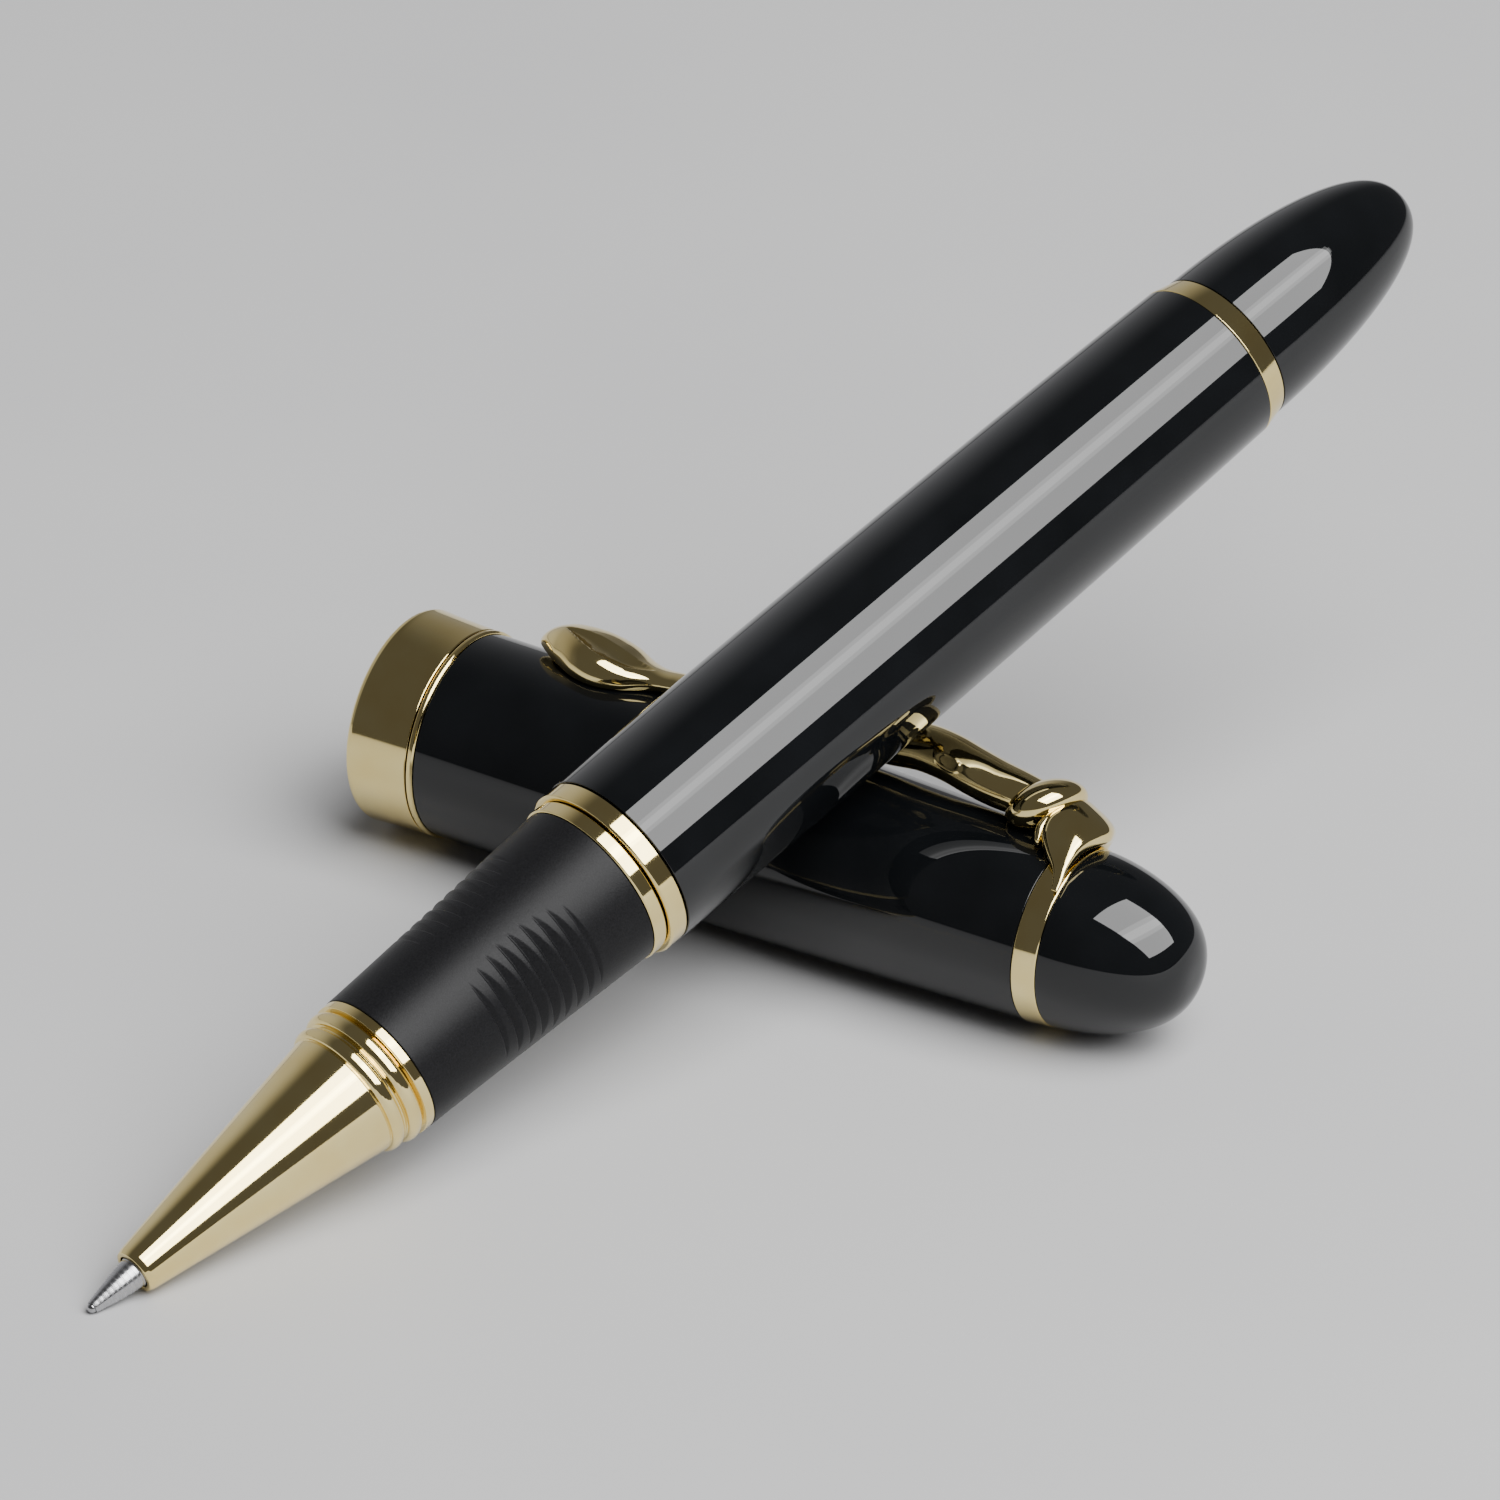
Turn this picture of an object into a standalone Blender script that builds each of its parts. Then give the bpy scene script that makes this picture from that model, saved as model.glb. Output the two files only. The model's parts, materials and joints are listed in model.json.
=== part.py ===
"""A rollerball pen lying across its own cap.

The cap lies on the surface along +X, mouth at low X, crown at high X. The pen rests its point on the surface
and its barrel on the cap's clip, and climbs towards +Y. Every piece of the real pen is an object of its own,
turned pieces as Screw profiles, the clip as a loft.

Lengths are named in millimetres and become metres through MM when a shape is made. Stations along the pen are
measured from the ball, stations along the cap from its mouth.
"""

import math

import bmesh
import bpy
from mathutils import Matrix, Vector

MM = 0.001
TURN = 2 * math.pi
MERGE = 1e-6  # metres: far below the smallest wall

# Round pieces: sides of the large and the small ones
LARGE_STEPS = 32
SMALL_STEPS = 20
CURVE_POINTS = 9

# How the two halves lie
CAP_DIP = math.radians(1.17)  # the crown end is slimmer than the mouth, so the axis falls towards it
PEN_HEADING = math.radians(74.54)  # from the cap's axis, seen from above
PEN_CLIMB = math.radians(18.72)
POINT_FROM_MOUTH = (18.84, -64.06)  # the ball's foremost point, from the middle of the cap's mouth, seen from above
SURFACE_GAP = 0.01

# Clearances
FIT_GAP = 0.05  # between pressed or screwed pieces
RUN_GAP = 0.10  # between pieces that turn in each other

# Pen, outside
BALL_RADIUS = 0.35
POINT_RIM, POINT_RIM_RADIUS = 0.36, 0.42  # the steel edge round the ball, on which the pen lies
POINT_MOUTH = 3.95  # the steel point leaves the nose here
NOSE_LIP_RADIUS = 1.65
CONE_END, CONE_RADIUS = 22.30, 4.457
NOSE_END, NOSE_RADIUS = 25.64, 5.114
GRIP_END, GRIP_RADIUS = 44.75, 5.93
SECTION_RING_END, SECTION_RING_RADIUS = 45.87, 6.06
BARREL_RING_END, BARREL_RING_RADIUS = 47.42, 6.40
BARREL_FRONT_RADIUS, BARREL_RADIUS, BARREL_FULLEST = 6.45, 6.50, 60.0
BARREL_END, BARREL_END_RADIUS = 103.69, 6.011
TAIL_RING_END, TAIL_RADIUS = 105.39, 5.674
PEN_LENGTH = 122.98

# Pen, inside
REFILL_RADIUS, REFILL_BORE = 2.90, 2.50
NECK_FRONT, TUBE_FRONT, REFILL_END = 7.20, 18.10, 110.50
CORE_FRONT, CORE_END, CORE_BORE = 21.95, 54.00, 3.45
CORE_SPIGOT_RADIUS, CORE_RADIUS, CORE_SEAT_RADIUS = 4.00, 4.25, 4.60
THREAD_FRONT, THREAD_RADIUS, THREAD_PITCH, THREAD_DEPTH = 46.60, 4.88, 0.75, 0.30
THREAD_TURNS = 6
BUSH_END, BUSH_RADIUS = 54.20, 5.78
BARREL_WALL = 0.60
TAIL_BUSH_FRONT, TAIL_BUSH_END, TAIL_BUSH_RADIUS, TAIL_BUSH_BORE = 98.00, 110.90, 5.35, 4.00
TAIL_SPIGOT_RADIUS = 4.50
SPRING_END, SPRING_RADIUS, SPRING_WIRE, SPRING_TURNS = 117.30, 2.40, 0.28, 4.5
TAIL_BORE, TAIL_BORE_END = 3.30, 117.70

# Cap, outside
LIP_RADIUS = 7.595
BAND_END, BAND_END_RADIUS = 4.80, 7.38
RIM_END, RIM_RADIUS = 5.374, 7.40
CAP_RADIUS, CAP_END_RADIUS = 7.22, 6.26
CAP_END = 52.06
CLIP_RING_END, CLIP_RING_FRONT_RADIUS, CLIP_RING_END_RADIUS = 53.776, 6.32, 6.14
CAP_LENGTH = 62.45

# Cap, inside
MOUTH_BORE = 6.20
CAP_FRONT = 0.75  # the tube starts behind the flange of the band
CAP_SEAT_RADIUS = 6.95  # the band and the rim sit on the tube's turned-down front
SNAP_RADIUS, SNAP_BORE, SNAP_BEAD = 6.50, 6.12, 5.99
SNAP_END, SNAP_BEAD_STATION = 5.50, 1.95
CAP_WALL = 0.60
LINER_FRONT, LINER_END = 20.90, 48.60
CAP_BUSH_FRONT, CAP_BUSH_END, CAP_BUSH_RADIUS = 48.90, 52.00, 5.58
CROWN_HOLLOW_END, CROWN_HOLLOW_RADIUS = 56.80, 4.50
SCREW_RADIUS, SCREW_FRONT, SCREW_END = 2.00, 49.20, 58.80

# Clip, about its own line along the cap
CLIP_LEAN = math.radians(20.0)  # behind the top of the cap
CLIP_GAP = 0.12  # nowhere nearer the cap than this
CLIP_POINTS = 20
# station, middle's distance from the cap's axis, half thickness, half width
CLIP_SECTIONS = [
    (9.45, 7.95, 0.35, 0.60),
    (9.80, 8.15, 0.75, 1.20),
    (10.50, 8.32, 1.08, 1.90),
    (12.00, 8.25, 1.45, 2.70),
    (13.60, 8.02, 1.62, 3.10),
    (15.30, 7.75, 1.55, 3.20),
    (17.40, 7.55, 1.20, 2.50),
    (19.00, 7.78, 0.85, 1.70),
    (20.50, 7.95, 0.80, 1.45),
    (24.00, 8.25, 0.95, 1.55),
    (28.00, 8.50, 1.15, 1.68),
    (32.00, 8.68, 1.36, 1.86),
    (35.00, 8.80, 1.50, 2.00),
    (37.00, 8.82, 1.58, 2.04),
    (40.00, 9.12, 1.62, 2.10),
    (41.80, 8.96, 1.62, 2.10),
    (43.60, 8.60, 1.62, 2.08),
    (45.40, 8.30, 1.58, 2.00),
    (46.60, 8.15, 1.55, 2.10),
    (47.70, 8.05, 1.78, 2.75),
    (49.40, 8.00, 1.92, 3.10),
    (50.70, 7.95, 1.78, 3.05),
    (51.30, 7.60, 1.30, 2.90),
    (52.10, 7.45, 1.25, 3.00),
    (52.90, 7.20, 1.20, 3.00),
    (53.70, 6.90, 1.05, 2.80),
    (54.30, 6.70, 0.85, 2.60),
    (54.50, 6.65, 0.60, 2.30),
]
FOOT_STATION, FOOT_TIP_STATION = 52.60, 53.60
FOOT_WIDTH, FOOT_TIP_WIDTH = 3.2, 0.40
FOOT_START, FOOT_END = math.radians(0.0), math.radians(-52.0)  # from the clip's line, towards the front
FOOT_INNER, FOOT_OUTER, FOOT_TIP_OUTER = 6.46, 7.90, 6.80
FOOT_STEPS = 8


# ---------------------------------------------------------------- scene


def clear_scene():
    for obj in list(bpy.data.objects):
        bpy.data.objects.remove(obj, do_unlink=True)


def new_collection(name):
    made = bpy.data.collections.new(name)
    bpy.context.scene.collection.children.link(made)
    return made


def new_material(name, color, roughness, metallic):
    made = bpy.data.materials.new(name)
    made.use_nodes = True
    surface = made.node_tree.nodes["Principled BSDF"]
    surface.inputs["Base Color"].default_value = (*color, 1.0)
    surface.inputs["Roughness"].default_value = roughness
    surface.inputs["Metallic"].default_value = metallic
    return made


def new_axis(name, matrix, parent):
    """An empty whose local Z is the axis that the pieces under it are turned about."""
    made = bpy.data.objects.new(name, None)
    PIECES.objects.link(made)
    made.parent = parent
    made.matrix_local = matrix
    return made


def add_piece(name, mesh, parent, material):
    made = bpy.data.objects.new(name, mesh)
    PIECES.objects.link(made)
    made.parent = parent
    mesh.materials.append(material)
    return made


# ---------------------------------------------------------------- shapes


def turned(name, outline, parent, material, steps=LARGE_STEPS):
    """A turned piece. The outline is (station, radius) points in mm, from the rear end forward along the outside
    and back along the bore. It is closed, unless both its ends lie on the axis."""
    verts = [(radius * MM, 0.0, station * MM) for station, radius in outline]
    edges = [(i, i + 1) for i in range(len(verts) - 1)]
    if outline[0][1] > 0:
        edges.append((len(verts) - 1, 0))
    mesh = bpy.data.meshes.new(name)
    mesh.from_pydata(verts, edges, [])
    made = add_piece(name, mesh, parent, material)
    screw = made.modifiers.new("Turned", "SCREW")
    screw.axis = "Z"
    screw.angle = TURN
    screw.steps = steps
    screw.render_steps = steps
    screw.use_merge_vertices = True
    screw.merge_threshold = MERGE
    screw.use_smooth_shade = True
    return made


def tube(front, end, outer, inner):
    """The outline of a plain tube."""
    return [(end, outer), (front, outer), (front, inner), (end, inner)]


def chamfered(front, end, front_radius, end_radius, bore, chamfer):
    """The outline of a ring whose two outer edges are chamfered."""
    return [
        (end, end_radius - chamfer),
        (end - chamfer, end_radius),
        (front + chamfer, front_radius),
        (front, front_radius - chamfer),
        (front, bore),
        (end, bore),
    ]


def dome_radius(share, radius, fullness, bluntness):
    """Radius of a rounded end at a share of its length: (1 - share^fullness)^(1 / bluntness)."""
    return radius * (1 - share**fullness) ** (1 / bluntness)


def dome(front, end, radius, fullness, bluntness):
    """Rounded end from its tip on the axis forward to its full radius, closer points near the tip."""
    points = []
    for i in range(CURVE_POINTS + 1):
        share = math.cos(0.5 * math.pi * i / CURVE_POINTS)
        points.append((front + (end - front) * share, dome_radius(share, radius, fullness, bluntness)))
    return points


def grip_radius(station):
    """The grip flares gently to the rear."""
    share = (station - NOSE_END) / (GRIP_END - NOSE_END)
    return NOSE_RADIUS + 0.02 + (GRIP_RADIUS - NOSE_RADIUS - 0.02) * share**1.15


def barrel_radius(station):
    """The barrel is fullest at BARREL_FULLEST and falls away as a power of the distance from there."""
    if station < BARREL_FULLEST:
        share = (BARREL_FULLEST - station) / (BARREL_FULLEST - BARREL_RING_END)
        return BARREL_RADIUS - (BARREL_RADIUS - BARREL_FRONT_RADIUS) * share**2
    share = (station - BARREL_FULLEST) / (BARREL_END - BARREL_FULLEST)
    return BARREL_RADIUS - (BARREL_RADIUS - BARREL_END_RADIUS) * share**2.2


def cap_radius(station):
    """The cap narrows to its crown end as the square of the distance from the rim."""
    share = (station - RIM_END) / (CAP_END - RIM_END)
    return CAP_RADIUS - (CAP_RADIUS - CAP_END_RADIUS) * max(share, 0.0) ** 2


def sampled(radius_at, rear, front, count):
    """(station, radius) points from rear to front."""
    stations = [rear + (front - rear) * i / count for i in range(count + 1)]
    return [(station, radius_at(station)) for station in stations]


def loft(rings):
    """A closed mesh through rings of equally many points, its two ends closed by a face each."""
    shape = bmesh.new()
    loops = [[shape.verts.new(point) for point in ring] for ring in rings]
    count = len(loops[0])
    for first, second in zip(loops, loops[1:]):
        for i in range(count):
            j = (i + 1) % count
            shape.faces.new((first[i], first[j], second[j], second[i]))
    shape.faces.new(loops[0])
    shape.faces.new(loops[-1])
    bmesh.ops.recalc_face_normals(shape, faces=shape.faces)
    return shape


# ---------------------------------------------------------------- pen


def make_section(axis, gold, satin, brass):
    bore = [(POINT_MOUTH, 1.20), (6.45, 1.20), (7.00, 1.62), (12.00, 2.30), (17.00, 3.05), (21.80, 3.20)]
    beads = [
        (NOSE_END, NOSE_RADIUS),
        (24.95, NOSE_RADIUS),
        (24.80, 4.86),
        (24.55, 5.08),
        (24.05, 5.08),
        (23.75, 4.62),
        (23.45, 4.80),
        (22.90, 4.76),
        (22.60, 4.52),
    ]
    cone = [(CONE_END, CONE_RADIUS), (13.00, 2.98), (POINT_MOUTH + 0.35, NOSE_LIP_RADIUS), (POINT_MOUTH, 1.50)]
    socket = [(21.80, CORE_SPIGOT_RADIUS + FIT_GAP), (NOSE_END, CORE_SPIGOT_RADIUS + FIT_GAP)]
    turned("nose_cone", beads + cone + bore + socket, axis, gold)

    front = NOSE_END + FIT_GAP
    sleeve = sampled(grip_radius, GRIP_END, front, 6)
    sleeve += [(front, CORE_RADIUS + FIT_GAP), (GRIP_END, CORE_RADIUS + FIT_GAP)]
    turned("grip_sleeve", sleeve, axis, satin)

    core = [(CORE_END, THREAD_RADIUS - THREAD_DEPTH)]
    for turn in reversed(range(THREAD_TURNS)):
        start = THREAD_FRONT + turn * THREAD_PITCH
        core += [(start + 0.55 * THREAD_PITCH, THREAD_RADIUS), (start + 0.35 * THREAD_PITCH, THREAD_RADIUS)]
        core += [(start, THREAD_RADIUS - THREAD_DEPTH)]
    core += [
        (45.95, THREAD_RADIUS - THREAD_DEPTH),
        (45.90, CORE_SEAT_RADIUS),
        (GRIP_END + FIT_GAP, CORE_SEAT_RADIUS),
        (GRIP_END + FIT_GAP, CORE_RADIUS),
        (NOSE_END + FIT_GAP, CORE_RADIUS),
        (NOSE_END + FIT_GAP, CORE_SPIGOT_RADIUS),
        (CORE_FRONT, CORE_SPIGOT_RADIUS),
        (CORE_FRONT, CORE_BORE),
        (CORE_END, CORE_BORE),
    ]
    turned("section_core", core, axis, brass)

    ring_bore = CORE_SEAT_RADIUS + FIT_GAP
    ring_front = GRIP_END + FIT_GAP
    turned(
        "section_ring",
        chamfered(ring_front, SECTION_RING_END, SECTION_RING_RADIUS, SECTION_RING_RADIUS, ring_bore, 0.10),
        axis,
        gold,
    )


def make_refill(axis, steel, plastic, ink_tube):
    point = [
        (9.20, 1.14),
        (5.00, 1.14),
        (POINT_MOUTH, 1.05),
        (1.00, 0.56),
        (0.60, 0.48),
        (POINT_RIM, POINT_RIM_RADIUS),
        (POINT_RIM, BALL_RADIUS + 0.03),
        (0.78, BALL_RADIUS + 0.03),
        (0.95, 0.14),
        (9.20, 0.14),
    ]
    turned("refill_tip", point, axis, steel, SMALL_STEPS)

    ball = bmesh.new()
    bmesh.ops.create_uvsphere(ball, u_segments=16, v_segments=10, radius=BALL_RADIUS * MM)
    bmesh.ops.translate(ball, verts=ball.verts, vec=(0, 0, BALL_RADIUS * MM))
    mesh = bpy.data.meshes.new("writing_ball")
    ball.to_mesh(mesh)
    ball.free()
    mesh.shade_smooth()
    add_piece("writing_ball", mesh, axis, steel)

    neck = [
        (TUBE_FRONT + 3.0, REFILL_BORE - FIT_GAP),
        (TUBE_FRONT - FIT_GAP, REFILL_BORE - FIT_GAP),
        (TUBE_FRONT - FIT_GAP, REFILL_RADIUS),
        (17.00, 2.75),
        (12.00, 2.10),
        (NECK_FRONT, 1.45),
        (NECK_FRONT, 1.19),
        (9.30, 1.19),
        (9.30, 0.50),
        (TUBE_FRONT + 3.0, 0.50),
    ]
    turned("refill_neck", neck, axis, plastic, SMALL_STEPS)
    turned("refill_tube", tube(TUBE_FRONT, REFILL_END - 0.55, REFILL_RADIUS, REFILL_BORE), axis, ink_tube, SMALL_STEPS)

    plug = [
        (REFILL_END, 0.0),
        (REFILL_END, REFILL_RADIUS),
        (REFILL_END - 0.50, REFILL_RADIUS),
        (REFILL_END - 0.50, REFILL_BORE - FIT_GAP),
        (REFILL_END - 3.50, REFILL_BORE - FIT_GAP),
        (REFILL_END - 3.50, 0.0),
    ]
    turned("refill_plug", plug, axis, plastic, SMALL_STEPS)


def make_barrel(axis, lacquer, gold, brass):
    ring_front = SECTION_RING_END + 0.08
    turned(
        "barrel_ring",
        chamfered(ring_front, BARREL_RING_END, BARREL_RING_RADIUS, BARREL_RING_RADIUS, BUSH_RADIUS + FIT_GAP, 0.12),
        axis,
        gold,
    )
    turned("barrel_bush", tube(46.05, BUSH_END, BUSH_RADIUS, THREAD_RADIUS + RUN_GAP), axis, brass)

    front = BARREL_RING_END + FIT_GAP
    rear = BARREL_END - FIT_GAP
    wall = sampled(barrel_radius, rear, BARREL_FULLEST, 7) + sampled(barrel_radius, BARREL_FULLEST - 4, front, 2)
    bore = [(station, radius - BARREL_WALL) for station, radius in reversed(wall)]
    turned("barrel_tube", wall + bore, axis, lacquer)

    bush = [
        (TAIL_BUSH_END, TAIL_SPIGOT_RADIUS),
        (BARREL_END - FIT_GAP, TAIL_SPIGOT_RADIUS),
        (BARREL_END - FIT_GAP, TAIL_BUSH_RADIUS),
        (TAIL_BUSH_FRONT, TAIL_BUSH_RADIUS),
        (TAIL_BUSH_FRONT, TAIL_BUSH_BORE),
        (TAIL_BUSH_END, TAIL_BUSH_BORE),
    ]
    turned("tail_bush", bush, axis, brass)
    turned(
        "tail_ring",
        chamfered(BARREL_END, TAIL_RING_END, BARREL_END_RADIUS, TAIL_RADIUS, TAIL_SPIGOT_RADIUS + FIT_GAP, 0.06),
        axis,
        gold,
    )

    front = TAIL_RING_END + FIT_GAP
    tail = dome(front, PEN_LENGTH, TAIL_RADIUS, 1.9, 2.6)
    tail += [
        (front, TAIL_SPIGOT_RADIUS + FIT_GAP),
        (TAIL_BUSH_END + FIT_GAP, TAIL_SPIGOT_RADIUS + FIT_GAP),
        (TAIL_BUSH_END + FIT_GAP, TAIL_BORE),
        (TAIL_BORE_END, TAIL_BORE),
        (TAIL_BORE_END, 0.0),
    ]
    turned("tail_dome", tail, axis, lacquer)


def make_thrust(axis, steel, plastic):
    cup_front = REFILL_END + RUN_GAP
    cup = [
        (cup_front + 1.20, 1.60),
        (cup_front + 0.60, 1.60),
        (cup_front + 0.60, 2.90),
        (cup_front, 2.90),
        (cup_front, 0.80),
        (cup_front + 1.20, 0.80),
    ]
    turned("spring_follower", cup, axis, plastic, SMALL_STEPS)

    start = cup_front + 0.60 + RUN_GAP + SPRING_WIRE
    rise = SPRING_END - start
    count = int(SPRING_TURNS * 14)
    curve = bpy.data.curves.new("refill_spring", "CURVE")
    curve.dimensions = "3D"
    curve.bevel_depth = SPRING_WIRE * MM
    curve.bevel_resolution = 1
    curve.use_fill_caps = True
    line = curve.splines.new("POLY")
    line.points.add(count)
    for i, point in enumerate(line.points):
        angle = TURN * SPRING_TURNS * i / count
        height = start + rise * i / count
        point.co = (SPRING_RADIUS * math.cos(angle) * MM, SPRING_RADIUS * math.sin(angle) * MM, height * MM, 1)
    add_piece("refill_spring", curve, axis, steel)


# ---------------------------------------------------------------- cap


def make_cap(axis, lacquer, gold, brass, plastic):
    band = [
        (BAND_END, BAND_END_RADIUS - 0.05),
        (BAND_END - 0.08, BAND_END_RADIUS),
        (0.45, LIP_RADIUS),
        (0.15, LIP_RADIUS - 0.12),
        (0.0, LIP_RADIUS - 0.38),
        (0.0, MOUTH_BORE),
        (CAP_FRONT - FIT_GAP, MOUTH_BORE),
        (CAP_FRONT - FIT_GAP, CAP_SEAT_RADIUS + FIT_GAP),
        (BAND_END, CAP_SEAT_RADIUS + FIT_GAP),
    ]
    turned("lip_band", band, axis, gold)
    rim_front = BAND_END + FIT_GAP
    turned(
        "lip_rim",
        chamfered(rim_front, RIM_END, RIM_RADIUS, RIM_RADIUS, CAP_SEAT_RADIUS + FIT_GAP, 0.14),
        axis,
        gold,
    )

    step = RIM_END + FIT_GAP
    tube_end = CAP_END - FIT_GAP
    wall = sampled(cap_radius, tube_end, step, 8)
    front = [(step, CAP_SEAT_RADIUS), (CAP_FRONT, CAP_SEAT_RADIUS)]
    bore = [(CAP_FRONT, SNAP_RADIUS + FIT_GAP), (SNAP_END + FIT_GAP, SNAP_RADIUS + FIT_GAP)]
    bore += [(station, radius - CAP_WALL) for station, radius in reversed(wall[:-1])]
    turned("cap_tube", wall + front + bore, axis, lacquer)

    snap = [
        (SNAP_END, SNAP_RADIUS),
        (CAP_FRONT, SNAP_RADIUS),
        (CAP_FRONT, SNAP_BORE),
        (SNAP_BEAD_STATION - 0.5, SNAP_BORE),
        (SNAP_BEAD_STATION, SNAP_BEAD),
        (SNAP_BEAD_STATION + 0.5, SNAP_BORE),
        (SNAP_END, SNAP_BORE),
    ]
    turned("snap_ring", snap, axis, plastic)

    sides = sampled(cap_radius, LINER_END, LINER_FRONT, 4)
    liner = [(LINER_END, 0.0)] + [(station, radius - CAP_WALL - RUN_GAP) for station, radius in sides]
    liner += [(LINER_FRONT, 5.50), (26.00, 5.30), (44.00, 3.60), (47.60, 2.60), (47.60, 0.0)]
    turned("cap_liner", liner, axis, plastic)

    bush_bore = SCREW_RADIUS + FIT_GAP
    turned("cap_bush", tube(CAP_BUSH_FRONT, CAP_BUSH_END, CAP_BUSH_RADIUS, bush_bore), axis, brass)
    turned(
        "clip_ring",
        chamfered(CAP_END, CLIP_RING_END, CLIP_RING_FRONT_RADIUS, CLIP_RING_END_RADIUS, bush_bore, 0.08),
        axis,
        gold,
    )
    crown_front = CLIP_RING_END + FIT_GAP
    crown = dome(crown_front, CAP_LENGTH, CLIP_RING_END_RADIUS - 0.04, 1.6, 2.7)
    crown += [(crown_front, CROWN_HOLLOW_RADIUS), (CROWN_HOLLOW_END, CROWN_HOLLOW_RADIUS)]
    crown += [(CROWN_HOLLOW_END, bush_bore), (SCREW_END + FIT_GAP, bush_bore), (SCREW_END + FIT_GAP, 0.0)]
    turned("cap_crown", crown, axis, lacquer)
    screw = [(SCREW_END, 0.0), (SCREW_END, SCREW_RADIUS), (SCREW_FRONT, SCREW_RADIUS), (SCREW_FRONT, 0.0)]
    turned("crown_screw", screw, axis, brass, SMALL_STEPS)


def cap_surface(station):
    """Outer radius of whatever part of the cap lies at a station."""
    if station < CAP_END:
        return cap_radius(station)
    if station < CLIP_RING_END:
        return CLIP_RING_FRONT_RADIUS
    share = (station - CLIP_RING_END) / (CAP_LENGTH - CLIP_RING_END)
    return dome_radius(share, CLIP_RING_END_RADIUS, 1.6, 2.7)


def clip_section(station, middle, thickness, width):
    """An ellipse about the clip's line, pushed out wherever it would come nearer the cap than CLIP_GAP.
    The clip's line leans towards local -Y, which is the rear."""
    nearest = cap_surface(station) + CLIP_GAP
    ring = []
    for i in range(CLIP_POINTS):
        angle = TURN * i / CLIP_POINTS
        out = middle + thickness * math.cos(angle)
        side = width * math.sin(angle)
        push = max(1.0, nearest / math.hypot(out, side))
        ring.append(Matrix.Rotation(-CLIP_LEAN, 3, "Z") @ Vector((out * push, side * push, station)) * MM)
    return ring


def foot_section(share):
    """A flat box across the foot, which narrows and drifts to the ring as it goes round to the front (local +Y)."""
    angle = -CLIP_LEAN - (FOOT_START + (FOOT_END - FOOT_START) * share)
    half = 0.5 * (FOOT_WIDTH + (FOOT_TIP_WIDTH - FOOT_WIDTH) * share)
    outer = FOOT_OUTER + (FOOT_TIP_OUTER - FOOT_OUTER) * share
    corners = [(FOOT_INNER, -half), (outer, -half), (outer, half), (FOOT_INNER, half)]
    turn = Matrix.Rotation(angle, 3, "Z")
    station = FOOT_STATION + (FOOT_TIP_STATION - FOOT_STATION) * share
    return [turn @ Vector((out, 0.0, station + along)) * MM for out, along in corners]


def make_clip(axis, gold):
    bar = loft([clip_section(*section) for section in CLIP_SECTIONS])
    mesh = bpy.data.meshes.new("clip")
    bar.to_mesh(mesh)
    bar.free()
    clip = add_piece("clip", mesh, axis, gold)

    foot = loft([foot_section(i / FOOT_STEPS) for i in range(FOOT_STEPS + 1)])
    mesh = bpy.data.meshes.new("clip_foot")
    foot.to_mesh(mesh)
    foot.free()
    tongue = bpy.data.objects.new("clip_foot", mesh)
    CUTTERS.objects.link(tongue)
    tongue.parent = axis
    tongue.hide_render = True
    tongue.display_type = "WIRE"
    join = clip.modifiers.new("Foot", "BOOLEAN")
    join.operation = "UNION"
    join.object = tongue


# ---------------------------------------------------------------- the whole


def cap_frame():
    """The mouth's middle, with local Z along the axis to the crown and local X up."""
    along = Vector((math.cos(CAP_DIP), 0, -math.sin(CAP_DIP)))
    up = Vector((math.sin(CAP_DIP), 0, math.cos(CAP_DIP)))
    height = LIP_RADIUS * math.cos(CAP_DIP) + 0.45 * math.sin(CAP_DIP)
    frame = Matrix((up, along.cross(up), along)).transposed().to_4x4()
    frame.translation = Vector((0, 0, height)) * MM
    return frame


def pen_frame():
    """The ball's foremost point, with local Z along the axis to the tail and local X up."""
    level, rise = math.cos(PEN_CLIMB), math.sin(PEN_CLIMB)
    east, north = math.cos(PEN_HEADING), math.sin(PEN_HEADING)
    along = Vector((level * east, level * north, rise))
    up = Vector((-rise * east, -rise * north, level))
    height = POINT_RIM_RADIUS * level - POINT_RIM * rise + SURFACE_GAP
    frame = Matrix((up, along.cross(up), along)).transposed().to_4x4()
    frame.translation = Vector((*POINT_FROM_MOUTH, height)) * MM
    return frame


def centre_on_origin(root):
    """Moves everything so that the origin is under the middle of the whole's box."""
    graph = bpy.context.evaluated_depsgraph_get()
    corners = []
    for obj in PIECES.objects:
        if obj.type in ("MESH", "CURVE"):
            shape = obj.evaluated_get(graph)
            mesh = shape.to_mesh()
            corners += [shape.matrix_world @ vert.co for vert in mesh.vertices]
            shape.to_mesh_clear()
    for side in range(2):
        values = [corner[side] for corner in corners]
        root.location[side] = -0.5 * (min(values) + max(values))


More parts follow.
